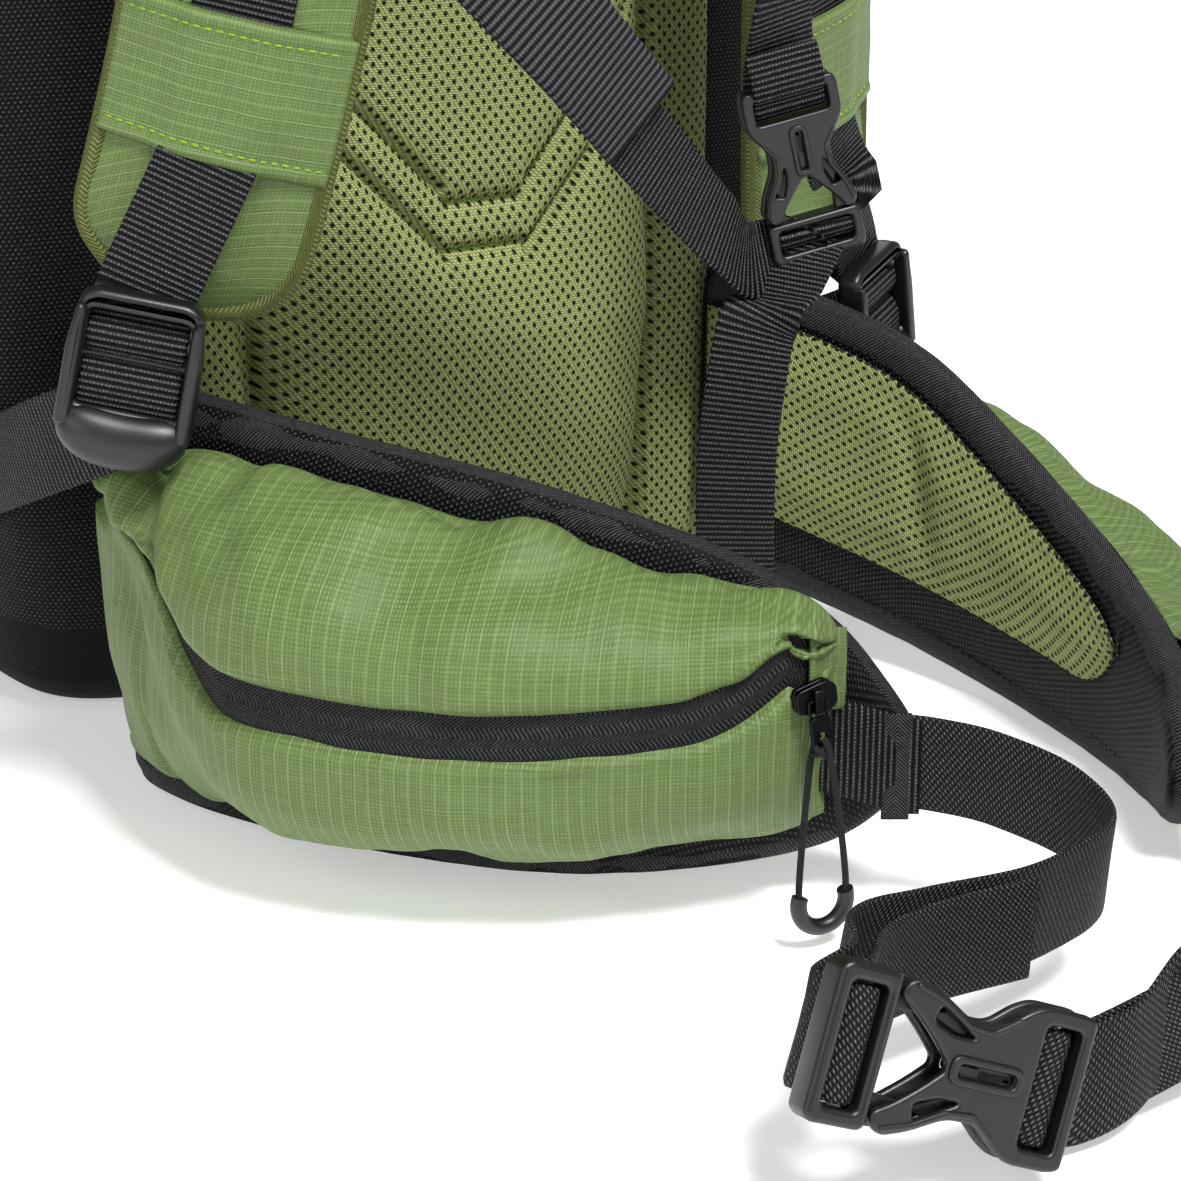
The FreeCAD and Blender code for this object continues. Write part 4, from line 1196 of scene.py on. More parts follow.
def strap_binding(strap):
    """Olive tape round the strap's edge."""
    s = np.linspace(2, strap.length - 0.6, 170)
    path = np.concatenate([strap.at(s, -1.0, 0.0), strap.at(s[::-1], 1.0, 0.0)])
    path = resample(path, 2.2)
    near = np.array([strap.s[np.argmin(np.sum((strap.path - p) ** 2, 1))] for p in path])
    up = strap.out_at(near)
    obj = grid_tube("shoulder_binding_" + strap.name, path, up, 2.8, 3.0)
    piece(obj, OLIVE_BINDING, "pack", "spacer_mesh")


def grid_tube(name, path, up, half_wide, half_tall):
    """A soft cord whose section keeps one axis along the given up directions."""
    side = unit_rows(np.cross(unit_rows(np.gradient(path, axis=0)), up))
    return grid(name, around(path, side, up, half_wide, half_tall, 12), closed=True, caps=True)


def strap_band(strap, start, stop, label):
    """A folded cloth band sewn across the strap over its webbing, with lime thread along both hems."""
    s = np.linspace(start, stop, 46)
    f = np.linspace(-1.03, 1.03, 48)

    def lift_at(f, s):
        over = 1.9 * np.exp(-(np.abs(f) / 0.5) ** 6)
        hem = np.minimum(s - start, stop - s)
        fold = 0.55 * np.exp(-((hem - 1.6) / 1.3) ** 4) - 0.9 * (1 - smoothstep(hem, 0, 0.5))
        return strap_lift(np.clip(f, -1, 1)) + 0.9 + over + fold

    lift = lift_at(f[None], s[:, None])
    soft = wander(strap.at(s[:, None], f[None], lift), 15, 0.35, 9.0)
    name = "shoulder_band_%s_%s" % (label, strap.name)
    obj = grid(name, strap.at(s[:, None], f[None], lift + soft), outward=False)
    thicken(obj, 0.7)
    piece(obj, GREEN, "pack", "ripstop")
    for k, at in enumerate((start + 3.8, stop - 3.8)):
        across = np.linspace(-0.99, 0.99, 80)
        level = np.full(80, at)
        height = lift_at(across, at)
        height = height + wander(strap.at(level, across, height), 15, 0.35, 9.0) + 0.42
        row = strap.at(level, across, height)
        away = strap.out_at(level)
        thread = stitches("shoulder_hem_%s_%s_%d" % (label, strap.name, k), row, away, 2.9, 2.3, 0.42)
        piece(thread, LIME, "pack", "ripstop")


def strap_webbing(strap, lock_end):
    """The webbing sewn along the strap's face, down to the ladder lock."""
    s = np.linspace(46, strap.length - 44, 30)
    rows = [tuple(strap.at(a, 0.0, strap_lift(0.0) + 0.9)) + tuple(strap.pick(strap.across, a)) for a in s]
    obj = webbing("shoulder_webbing_" + strap.name, rows + lock_end, HIP_WEB, sway=0.25)
    piece(obj, WEBBING, "pack", "webbing", *once(strap.side, "shoulder_webbings"))


LADDER = {LEFT: (np.array([-130, -196, 129.0]), (0.18, -0.10, 0.97), (-0.48, -0.87, 0)),
          RIGHT: (np.array([128, -146, 97.0]), (-0.18, -0.10, 0.97), (0.48, -0.87, 0))}
LOWER_WEBS = {
    LEFT: [(-134.5, -183, 113, 0.3, -0.3, -1), (-143, -158, 101, 0.1, -0.2, -1),
           (-145.5, -128, 88, 0, 0, -1), (-142, -96, 76, 0, 0, -1), (-138, -62, 66, 0, 0, -1)],
    RIGHT: [(137, -130, 92, 0.2, 0.2, 1), (145, -115, 86, 0, 0.1, 1),
            (144.5, -98, 78, 0, 0, 1), (140.5, -80, 71, 0, 0, 1), (138, -60, 66, 0, 0, 1)],
}


def ladder_axes(side):
    at, along, face = LADDER[side]
    x = unit(along)
    z = square_to(face, x)
    return at, x, np.cross(z, x), z


def ladder_lock(side):
    """A webbing adjuster: a rounded frame with deep side walls, a middle bar and a wide scooped lip."""
    name = SIDE_NAME[side]
    outline = rounded(mirrored([(20.5, 11.5), (18.5, 15.2), (8, 16.6), (-9, 16.9), (-16, 15.6),
                                (-22.5, 10.5), (-23.5, 6)]), 5.0)
    window = rounded([(-9.2, -13.3), (15.4, -12.9), (15.4, 12.9), (-9.2, 13.3)], 2.4)
    frame_plate = plate("ladder", [outline, window], -3.6, 3.6, 1.8)
    wall = rounded([(17, 15.4), (6, 16.9), (-15, 17.0), (-15, 12.9), (16, 12.9)], 1.9)
    walls = [plate("ladder", [sized(wall, 1, flip)], -3.4, 5.8, 1.7) for flip in (1, -1)]
    y = np.linspace(-16.2, 16.2, 40)
    radius = 6.2 * np.sqrt(np.clip(1 - np.abs(y / 16.8) ** 3.4, 0, 1)) + 0.3
    a = np.linspace(0, 2 * math.pi, 28, endpoint=False)
    lip_x = -17.2 + 0.010 * y ** 2
    points = np.stack([lip_x[:, None] + 1.15 * radius[:, None] * np.cos(a)[None],
                       np.broadcast_to(y[:, None], (40, 28)),
                       1.6 + radius[:, None] * np.sin(a)[None] * 0.95], -1)
    lip = grid("ladder", points, closed=True, caps=True)
    bar = tube("ladder", [(3.0, v, -2.6) for v in np.linspace(-14, 14, 6)], 1.7, sides=12)
    obj = joined("ladder_lock_shape_" + name, [frame_plate, lip, bar] + walls)
    at, x, _, z = ladder_axes(side)
    put(obj, at, x, z)
    edge_shading(obj, 50)
    piece(obj, PLASTIC, "ladder_%s_body" % name, "buckle_plastic", "ladder_lock_" + name)


def ladder_webbing(side):
    """The webbing from the lock's bar to the bag's side, and the stations of the strap's own end."""
    at, x, y, z = ladder_axes(side)
    across = y if y[0] * -side > 0 else -y

    def on(a, b):
        return tuple(at + x * a + z * b) + tuple(across)

    low = [on(3.0, -4.4), on(2.2, -1.4), on(-0.6, 1.3), on(-4.5, 1.9), on(-9, 1.0), on(-12.2, -2.2),
           on(-13, -5.2)]
    front = webbing("lower_webbing_front_" + SIDE_NAME[side], low, HIP_WEB, step=1.2)
    piece(front, WEBBING, "pack", "webbing")
    rows = [on(4, -4.8), on(-12, -6.8)] + LOWER_WEBS[side]
    back = webbing("lower_webbing_" + SIDE_NAME[side], rows, HIP_WEB, sway=0.4)
    piece(back, WEBBING, "pack", "webbing", *once(side, "lower_webbings"))
    return [on(21, -4.2), on(16.5, -3.4), on(12.5, 0.2), on(9.5, 1.7), on(6.0, 1.2), on(4.2, -1.2),
            on(3.8, -3.6)]


def chest_parts():
    """The chest buckle, the webbing on both sides of it, its hanging end and the elastic sleeve."""
    at = np.array([59, -208, 162.0])
    along = unit([-0.22, 0.05, 0.97])
    face = square_to((-0.30, -0.95, 0.0), along)
    across = unit(np.cross(along, face))
    across *= np.sign(across[0])
    buckle_pair("chest_buckle", at, along, face, 0.78, "chest_male_body")

    def on(x, z=0.0):
        return tuple(at + along * x + face * z) + tuple(across)

    right = webbing("chest_webbing_right", [
        on(34, 3.5), on(27, 4.6), on(22.0, 3.6), on(20.6, 1.6), on(18.0, 1.8), on(16.4, -1), on(18.5, -5.6),
        on(27, -4), (50, -211, 210, 0.85, 0.2, 0.2), (56, -209, 231, 0.87, 0.4, 0.1),
        (66, -200.5, 252, 0.9, 0.42, 0), (77, -191.5, 278, 0.9, 0.42, 0)], CHEST_WEB, sway=0.5)
    piece(right, WEBBING, "pack", "webbing", "chest_strap_right")
    left = webbing("chest_webbing_left", [
        (-86, -203.5, 268, 0.55, -0.32, 0.78), (-63, -217.5, 246, 0.55, -0.25, 0.8),
        (-24, -222, 205, 0.6, 0, 0.75), (6, -217, 174, 0.5, 0.1, 0.8), (30, -212, 150, 0.35, 0.3, 0.85),
        (44, -207, 138, 0.5, 0.5, 0.75), on(-22.5, -6), on(-20.6, -1.5), on(-18.4, 1.9), on(-16.2, 0.6),
        on(-17.5, -3.5), (50, -214, 131, 0.85, -0.2, 0.45), (40, -217.5, 124, 0.9, -0.40, 0.1),
        (36, -218, 108, 0.86, -0.5, 0), (35, -216, 90, 0.84, -0.55, 0), (35.5, -214.5, 70, 0.82, -0.57, 0),
        (37, -213, 50, 0.82, -0.57, 0)], CHEST_WEB + 1.5, sway=0.6, seed=2.0)
    piece(left, WEBBING, None, "webbing", "chest_strap_left", "chest_tail")
    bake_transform(left)
    sleeve = webbing("chest_elastic", [(-56, -222.5, 242, 0.55, -0.2, 0.8), (-24, -227, 208, 0.6, 0, 0.75),
                                       (0, -222.5, 183, 0.5, 0, 0.8)], 27.5, 2.8, sway=0.3)
    piece(sleeve, SLEEVE, "pack", "webbing", "chest_sleeve")
    keeper = webbing("chest_slide_bar", [(-50, -219, 249, 0.55, -0.2, 0.8), (-24, -222, 220, 0.6, 0, 0.75),
                                         (-4, -219, 199, 0.5, 0, 0.8)], 3.0, 2.6)
    piece(keeper, PLASTIC, "pack", "buckle_plastic")


def load_lifters():
    for side in (LEFT, RIGHT):
        rows = [(side * 66, -193, 386, 0.9, side * 0.42, 0), (side * 71, -164, 440, 0.97, side * 0.2, 0),
                (side * 73, -128, 505, 1, 0, 0), (side * 74, -107, 537, 1, 0, 0)]
        obj = webbing("load_lifter_" + SIDE_NAME[side], rows, CHEST_WEB, sway=0.4)
        piece(obj, WEBBING, "pack", "webbing", *once(side, "load_lifters"))


def harness():
    for side in (LEFT, RIGHT):
        strap = Strap(side)
        strap_surfaces(strap)
        strap_binding(strap)
        ladder_lock(side)
        strap_webbing(strap, ladder_webbing(side))
        end = strap.length
        strap_band(strap, end - 77, end - 40, "low")
        strap_band(strap, end - 190, end - 168, "high")
    chest_parts()
    load_lifters()


# The back pad

# The height of each sewn chevron and how deep it is drawn in
CHANNELS = ((141.0, 1.0), (259.0, 0.8), (369.0, 0.7))
CHANNEL_HALF = 6.5


def pad_height(x, z):
    """How far the back pad stands off the bag at a point of the back."""
    half = np.interp(z, [20, 110, 240, 440], [58, 62, 60, 42])
    wing = np.interp(z, [20, 50, 240, 440], [82, 88, 88, 66])
    swell = np.interp(z, [18, 30, 60, 110, 150, 240, 340, 418, 440], [2, 14, 26, 33, 29, 24, 21, 17, 4])
    f = np.clip(np.abs(x) / half, 0, 1)
    centre = swell * np.sqrt(np.clip(1 - f ** 5, 0, 1)) + swell * 0.24 * (1 - f ** 2)
    side = 9.0 * np.sqrt(np.clip(1 - (np.clip(np.abs(x) - half - 4, 0, None) / (wing - half - 3)) ** 4, 0, 1))
    side = side * smoothstep(np.abs(x) - half, 0.5, 7)
    edge = smoothstep(z, 18, 34) * smoothstep(440 - z, 0, 14)
    height = np.where(np.abs(x) < half, np.maximum(centre, 1.0), np.maximum(side, 0.6)) * edge
    inside = smoothstep(half - np.abs(x), 1, 9)
    for level, depth in CHANNELS:
        for offset in (-CHANNEL_HALF, CHANNEL_HALF):
            gap = np.abs(z - channel_line(x, level, offset)) * np.where(np.abs(x + 3) > 12, 0.70, 1.0)
            groove = 3.4 * np.exp(-(gap / 1.8) ** 2) + 2.6 * np.exp(-(gap / 6.0) ** 2)
            height = height - depth * groove * inside
    return height


def channel_line(x, level, offset):
    """The height of a sewn line across the back pad: flat in the middle, rising to both sides."""
    away = np.abs(x + 3)
    return np.maximum(away - 12.0, 0.0) * 1.08 + level + offset * np.where(away > 12, 1.35, 1.0)


def pad_unevenness(x, z):
    return wander(np.stack([x, 0 * x, z], -1), 40, 0.8, 1.5)


def back_pad():
    """The mesh back pad, with its sewn chevrons."""
    back_y = cad_box("back_pad")[1][1]
    x = np.concatenate([np.linspace(-88, -66, 16), np.linspace(-65, -48, 30), np.linspace(-47, 47, 130),
                        np.linspace(48, 65, 30), np.linspace(66, 88, 16)])
    z = np.linspace(18.5, 440, 420)
    gx, gz = np.meshgrid(x, z)
    height = pad_height(gx, gz)
    height = height + pad_unevenness(gx, gz) * (height > 2)
    points = np.stack([gx, back_y - height, gz], -1)
    obj = grid("back_pad_mesh", points, u=x, v=z, outward=False)
    piece(obj, MESH, "pack", "spacer_mesh", "back_pad")
    spans = (("mid", -14.5, 8.5, LIME), ("left", -47, -16.5, OLIVE_BINDING),
             ("right", 10.5, 41, OLIVE_BINDING))
    for level, _ in CHANNELS:
        for k, offset in enumerate((-CHANNEL_HALF, CHANNEL_HALF)):
            for label, x0, x1, thread_look in spans:
                xs = np.linspace(x0, x1, 40)
                zs = channel_line(xs, level, offset)
                row = np.stack([xs, back_y - pad_height(xs, zs) - pad_unevenness(xs, zs) - 0.2, zs], 1)
                away = np.tile([0, -1.0, 0], (len(row), 1))
                thread = stitches("pad_thread_%s_%d_%d" % (label, k, int(level)), row, away, 3.1, 2.3, 0.4)
                piece(thread, thread_look, "pack", "spacer_mesh")


# The bag

BAG_CORNER = 6.6
COMPRESSION_Z = (235, 380)


def bag_halves(z):
    """Half the bag's width and depth at a height."""
    return (np.interp(z, [4, 18, 42, 250, 420, 545], [123, 131, 134.5, 134.5, 134.5, 130]),
            np.interp(z, [4, 18, 42, 250, 420, 545], [98, 106, 109.7, 109.7, 109.7, 105]))


def bag_skin(x, y, z, lift=0.0):
    """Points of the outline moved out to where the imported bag's cloth is, and lift further."""
    points = np.stack(np.broadcast_arrays(x, y, z), -1).astype(float)
    half_wide, half_deep = bag_halves(points[..., 2])
    nx = np.sign(points[..., 0]) * np.abs(points[..., 0] / half_wide) ** (BAG_CORNER - 1) / half_wide
    ny = np.sign(points[..., 1]) * np.abs(points[..., 1] / half_deep) ** (BAG_CORNER - 1) / half_deep
    out = unit_rows(np.stack([nx, ny, 0 * nx], -1))
    back = smoothstep(-points[..., 1], 92, 108)
    z = points[..., 2]
    full = np.zeros_like(z)
    for low, high in ((16, 235), (235, 380), (380, 545)):
        middle, half = (low + high) / 2, (high - low) / 2
        full = np.maximum(full, 1 - np.abs((z - middle) / half) ** 2.6)
    front = smoothstep(points[..., 1], 80, 105)
    swell = np.clip(full, 0, 1) * (7.5 - 3.0 * front) - 1.0
    edges = smoothstep(z, 12, 60) * smoothstep(545 - z, 0, 40)
    folds = wander(points, 75, 2.0, 1.0) + wander(points * [1, 1, 0.45], 26, 1.3, 4.0)
    pulled = sum(np.exp(-((z - level) / 34) ** 2) for level in COMPRESSION_Z)
    gathers = 1.3 * pulled * wander(points * [1, 1, 0.22], 9, 1.0, 11.0) * (1 - front)
    push = (swell + folds + gathers) * edges * (1 - 0.9 * back)
    return points + out * (push + lift)[..., None]


def bag_front(x, z, lift=0.0):
    """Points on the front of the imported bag."""
    x, z = np.broadcast_arrays(np.asarray(x, float), z)
    half_wide, half_deep = bag_halves(z)
    y = half_deep * np.clip(1 - np.abs(x / half_wide) ** BAG_CORNER, 0, 1) ** (1 / BAG_CORNER)
    return bag_skin(x, y, z, np.broadcast_to(lift, x.shape))


def bag_side(side, y, z, lift=0.0):
    """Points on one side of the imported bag."""
    y, z = np.broadcast_arrays(np.asarray(y, float), z)
    half_wide, half_deep = bag_halves(z)
    x = side * half_wide * np.clip(1 - np.abs(y / half_deep) ** BAG_CORNER, 0, 1) ** (1 / BAG_CORNER)
    return bag_skin(x, y, z, np.broadcast_to(lift, y.shape))


def bag_outline(z, count=200):
    """The outline of the bag at a height: a rounded rectangle."""
    half_wide, half_deep = bag_halves(z)
    a = np.linspace(0, 2 * math.pi, count, endpoint=False) + math.pi / 2
    c, s = np.cos(a), np.sin(a)
    return (half_wide * np.sign(c) * np.abs(c) ** (2 / BAG_CORNER),
            half_deep * np.sign(s) * np.abs(s) ** (2 / BAG_CORNER))


def outline_rings(x, y, shares):
    """Rings of the outline x, y, each at a share of its size and a height."""
    return np.array([np.stack([x * f, y * f, np.full_like(x, z)], 1) for f, z in shares])


def bag_body():
    """The bag's outer cloth and its lining."""
    zs = np.concatenate([np.linspace(4, 30, 14), np.linspace(34, 540, 150), [543, 545]])
    rows = []
    for z in zs:
        x, y = bag_outline(z, 260)
        rows.append(np.stack([x, y, np.full_like(x, z)], 1))
    base_points = np.array(rows)
    points = bag_skin(base_points[..., 0], base_points[..., 1], base_points[..., 2])
    inside = base_points[::-1] * [0.965, 0.96, 1]
    obj = grid("bag_cloth", np.concatenate([points, inside]), closed=True)
    piece(obj, BALLISTIC, "pack", "bag_nylon", "bag_shell")
    front_panel()
    piping()


def front_panel():
    """The green panel sewn on the front, with its edge binding and lime thread."""
    x = np.linspace(-100, 100, 70)
    z = np.linspace(40, 526, 150)
    gx, gz = np.meshgrid(x, z)
    edge = np.minimum(100 - np.abs(gx), np.minimum(gz - 40, 526 - gz))
    points = bag_front(gx, gz, 1.2 + 1.4 * smoothstep(edge, 0, 10))
    obj = grid("front_panel", points, outward=False)
    piece(obj, GREEN, "pack", "ripstop")
    ring = np.concatenate([points[:, 0], points[-1, 1:], points[-2::-1, -1], points[0, -2:0:-1]])
    obj = tube("front_panel_binding", resample(ring, 4.0), 2.2, up=(0, 1, 0))
    piece(obj, BINDING, "pack", "bag_nylon")
    for side in (LEFT, RIGHT):
        zs = np.linspace(48, 518, 160)
        row = bag_front(np.full_like(zs, side * 94.0), zs, 2.0)
        away = np.tile([0, 1.0, 0], (len(row), 1))
        thread = stitches("front_panel_thread_" + SIDE_NAME[side], row, away, 3.4, 2.5, 0.4)
        piece(thread, LIME, "pack", "ripstop")


def piping():
    """A cord of piping down each front corner of the bag, and the seam round its rim."""
    zs = np.linspace(30, 541, 130)
    for k, (sx, sy) in enumerate(((-1, 1), (1, 1))):
        half_wide, half_deep = bag_halves(zs)
        share = 0.5 ** (1 / BAG_CORNER)
        path = bag_skin(sx * half_wide * share, sy * half_deep * share, zs, np.full_like(zs, 1.0))
        obj = tube("bag_piping_%d" % k, path, 2.2, up=(sx, -sy, 0))
        piece(obj, BINDING, "pack", "bag_nylon")
    rim = outline_rings(*bag_outline(541), [(1.004, 541.0)])[0]
    obj = tube("bag_rim_binding", rim, 2.6, closed=True)
    piece(obj, BINDING, "pack", "bag_nylon")


def base():
    """The tough base that wraps round the bottom edge."""
    shares = ((0.0, 0.4), (0.5, 0.3), (0.86, 0.1), (0.93, 1.2), (0.955, 4), (0.99, 10), (1.004, 18),
              (1.012, 26), (1.016, 33), (1.016, 35), (1.0, 35))
    obj = grid("base_cloth", outline_rings(*bag_outline(18), shares), closed=True)
    piece(obj, LINING, "pack", "bag_nylon", "base_panel")


def collar():
    """The gathered collar above the bag's rim, closed by its drawcord."""
    count = 240
    rows = []
    x, y = bag_outline(545, count)
    a = np.arange(count)
    gathers = 1.6 * np.sin(a * 2 * math.pi / count * 46) + 0.8 * np.sin(a * 2 * math.pi / count * 19 + 1)
    for z, shrink in ((541, 1.0), (546, 0.985), (554, 0.96), (561, 0.945), (565, 0.95), (569, 0.94),
                      (571, 0.935)):
        scale = shrink + gathers * smoothstep(z, 543, 556) / 130
        rows.append(np.stack([x * scale * 0.99, y * scale * 0.985, np.full(count, float(z))], 1))
    rows = np.array(rows)
    inner = rows[::-1] * [0.975, 0.97, 1]
    obj = grid("collar_cloth", np.concatenate([rows, inner]), closed=True)
    piece(obj, LINING, "pack", "bag_nylon", "collar")


def lid_point(a, f):
    """A point of the lid: a is the way round, and f goes from its underside's middle (0) to its top (1)."""
    low, high = 577.0, 651.0
    c, s = np.cos(a), np.sin(a)
    x = 134 * np.sign(c) * np.abs(c) ** 0.42
    y = 113 * np.sign(s) * np.abs(s) ** 0.42
    marks = [0, 0.3, 0.36, 0.42, 0.5, 0.6, 0.66, 0.74, 0.86, 1]
    reach = np.interp(f, marks, [0, 0.9, 0.965, 0.995, 1.0, 0.97, 0.915, 0.78, 0.45, 0])
    rise = np.interp(f, marks, [0.06, 0.0, 0.01, 0.10, 0.36, 0.60, 0.70, 0.83, 0.95, 1.0])
    return x * reach, 5 + y * reach, low + (high - low) * rise * 0.975


def lid_front_y(z):
    """The lid's front face at a height."""
    f = np.interp(z, [577 + 72 * r for r in (0.01, 0.10, 0.36, 0.60)], [0.36, 0.42, 0.5, 0.6])
    return 5 + 113 * np.interp(f, [0.36, 0.42, 0.5, 0.6], [0.965, 0.995, 1.0, 0.97])


def lid():
    """The lid's cloth in three parts, with piping and hem between them."""
    a = np.linspace(0, 2 * math.pi, 240, endpoint=False)
    front = smoothstep(np.sin(a), 0.55, 0.8)[None]
    for label, f0, f1, material, slot, nodes in (("under", 0.003, 0.40, LINING, "bag_nylon", ()),
                                                 ("side", 0.39, 0.61, GREEN, "ripstop", ()),
                                                 ("top", 0.60, 0.998, GREEN, "ripstop", ("lid",))):
        f = np.linspace(f0, f1, 50)
        x, y, z = lid_point(a[None], f[:, None])
        points = np.stack(np.broadcast_arrays(x, y, z), -1)
        out = unit_rows(points - np.array([0, 5, 600]))
        puff = wander(points, 60, 3.0, 3.0) + wander(points, 20, 1.5, 6.0)
        puff = puff + wander(points * [1, 1, 2], 9, 0.5, 8.0)
        if label == "under":
            puff = puff * 0.2
        puff = puff * (1 - 0.75 * front) if label == "side" else puff
        seam = 2.2 * np.exp(-((f[:, None] - 0.61) / 0.012) ** 2)
        points = points + out * (puff * smoothstep(np.abs(f[:, None] - 0.61), 0, 0.04) - seam)[..., None]
        obj = grid("lid_cloth_" + label, points, closed=True)
        piece(obj, material, "lid_body", slot, *nodes)
    x, y, z = lid_point(a, np.full_like(a, 0.61))
    ring = np.stack([x * 1.002, 5 + (y - 5) * 1.002, z], 1)
    obj = tube("lid_piping", ring, 2.1, closed=True)
    piece(obj, BINDING, "lid_body", "bag_nylon")
    x, y, z = lid_point(a, np.full_like(a, 0.40))
    obj = tube("lid_hem", np.stack([x, y, z], 1), 2.6, closed=True)
    piece(obj, BINDING, "lid_body", "bag_nylon")


def lid_hinge_cloth():
    """The strip of cloth at the back that joins the lid to the bag's rim."""
    x = np.linspace(-72, 72, 60)
    profile = resample([(-108.2, 541, 0), (-107.6, 549, 0), (-104.8, 558, 0), (-103.6, 567, 0),
                        (-104.6, 576, 0), (-107.4, 584, 0)], 1.0)
    y, z = profile[:, 0], profile[:, 1]
    points = np.stack(np.broadcast_arrays(x[None], y[:, None], z[:, None]), -1)
    loose = np.sin(np.linspace(0, math.pi, len(z)))[:, None]
    points = points + np.array([0, 1, 0]) * (loose * wander(points, 18, 1.2, 5.0))[..., None]
    obj = grid("lid_hinge_cloth", points, outward=False)
    thicken(obj, 0.8)
    piece(obj, BALLISTIC, None, "bag_nylon")
    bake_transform(obj)


def straight_zip(tape_node, slider_node, pull_node, tape_body, slider_body, pull_body):
    """A level zip on the front: its tape with a hidden coil, the slider and the pull."""
    low, high = cad_box(tape_node)
    x = np.linspace(low[0], high[0], 90)
    f = np.linspace(-1, 1, 13)
    y = high[1] + 0.4 - 0.9 * f ** 2 + 0.5 * np.exp(-(f / 0.1) ** 2)
    z = (low[2] + high[2]) / 2 + 12.0 * f
    points = np.stack(np.broadcast_arrays(x[:, None], y[None], z[None]), -1)
    points = points + np.array([0, 1, 0]) * wander(points, 25, 0.4, 2.0)[..., None]
    obj = grid(tape_node + "_tape", points, outward=False)
    thicken(obj, 1.0)
    piece(obj, ZIP_TAPE, tape_body, "zip_tape", tape_node)
    seat = cad_middle(slider_node)
    seat[1] = cad_box(slider_node)[0][1]
    slider = put(zip_slider(slider_node + "_shape"), seat, (1, 0, 0), (0, 1, 0))
    piece(slider, LACQUER, slider_body, "slider_metal", slider_node)
    pull = put(zip_pull(pull_node + "_shape", 20.0), seat, (0, 0, -1), (0, 1, 0))
    piece(pull, LACQUER, pull_body, "slider_metal", pull_node)


def lid_strap():
    """The strap that holds the lid down: a buckle, with webbing up to the lid and down the front."""
    at = np.array([0, 119, 551.0])
    buckle_pair("lid_buckle", at, (0, 0, -1), (0, 1, 0), 0.78, "lid_body")
    z = at[2]
    rows = [(0, y, z + up)
            for y, up in ((118.5, 13), (120.3, 15.5), (121.2, 18.3), (119.5, 21.5), (118.5, 27))]
    rows += [(0, lid_front_y(h) + 3.0, h) for h in (586, 594, 603, 612, 618)]
    upper = webbing("lid_webbing_upper", [row + (1, 0, 0) for row in rows], CHEST_WEB)
    piece(upper, WEBBING, "lid_body", "webbing", "lid_strap_upper")
    rows = [(0, y, z - down) for y, down in ((117.5, 13), (120.3, 15.5), (121.2, 18.3), (119.0, 22))]
    rows += [tuple(bag_front(0.0, h, 3.6)) for h in (518, 500, 480, 460, 440, 420, 400, 379)]
    lower = webbing("lid_webbing_lower", [row + (1, 0, 0) for row in rows], CHEST_WEB)
    piece(lower, WEBBING, "pack", "webbing", "lid_strap_lower")


def front_pocket():
    """The bellows pocket on the front, with binding round its edge."""
    low, high = cad_box("front_pocket")
    u = np.linspace(-1, 1, 100)
    v = np.linspace(-1, 1, 140)
    gu, gv = np.meshgrid(u, v)
    rim = 1 - np.maximum(np.abs(gu) ** 8, np.abs(gv) ** 12)
    height = 31.0 * np.clip(rim, 0, 1) ** 0.42
    mid = (low + high) / 2
    half = (high - low) / 2
    x = mid[0] + half[0] * gu * (1 - 0.05 * np.abs(gv) ** 6) * 0.97
    z = mid[2] + half[2] * gv * (1 - 0.02 * np.abs(gu) ** 6)
    skin = bag_front(x, z, 1.6)
    flat = 112.0 + 0 * x
    deep = smoothstep(height, 4, 26)
    y = skin[..., 1] * (1 - deep) + flat * deep + height
    points = np.stack([x, y, z], -1)
    folds = wander(points, 50, 3.0, 5.0) + wander(points * [1, 1, 0.6], 19, 1.5, 7.0)
    calm = 1 - 0.8 * np.exp(-((z - 268) / 22.0) ** 2)
    groove = 2.0 * np.exp(-((z - 268) / 15.0) ** 4)
    points[..., 1] += folds * smoothstep(height, 6, 28) * calm - groove
    obj = grid("front_pocket_cloth", points, outward=False)
    piece(obj, GREEN, "pack", "ripstop", "front_pocket")
    edge = np.concatenate([points[0], points[1:, -1], points[-1, -2::-1], points[-2:0:-1, 0]])
    obj = tube("front_pocket_binding", resample(edge, 5.0), 2.3, up=(0, 1, 0))
    piece(obj, BINDING, "pack", "bag_nylon")


def side_pocket(side):
    """An open stretch pocket for a bottle, with an elastic hem."""
    name = "side_pocket_" + SIDE_NAME[side]
    low, high = cad_box(name)
    inner_x, outer_x = (high[0], low[0]) if side < 0 else (low[0], high[0])
    y0, y1 = low[1], high[1]
    a = np.linspace(0, math.pi, 70)
    rows = []
    for z in np.linspace(low[2], high[2], 70):
        t = (z - low[2]) / (high[2] - low[2])
        depth = abs(outer_x - inner_x) * np.interp(t, [0, 0.1, 0.3, 0.8, 1], [0.35, 0.82, 0.97, 0.98, 0.88])
        wide = (y1 - y0) / 2 * np.interp(t, [0, 0.2, 1], [0.93, 1.0, 0.98])
        c, s = np.cos(a), np.sin(a)
        y = (y0 + y1) / 2 + wide * np.sign(c) * np.abs(c) ** 0.5
        x = inner_x + side * (depth * np.abs(s) ** 0.5)
        rows.append(np.stack([x, y, np.full_like(x, z)], 1))
    points = np.array(rows)
    out = np.zeros_like(points)
    out[..., 0] = side
    points = points + out * (wander(points * [1, 1, 0.4], 20, 1.1, 3.0) * np.sin(a)[None] ** 2)[..., None]
    obj = grid(name + "_knit", points, outward=False)
    thicken(obj, 1.4)
    piece(obj, STRETCH, "pack", "bag_nylon", name)
    hem = grid_tube(name + "_hem", points[-1], np.tile([0, 0, 1.0], (len(a), 1)), 1.8, 5.0)
    piece(hem, BINDING, "pack", "bag_nylon")


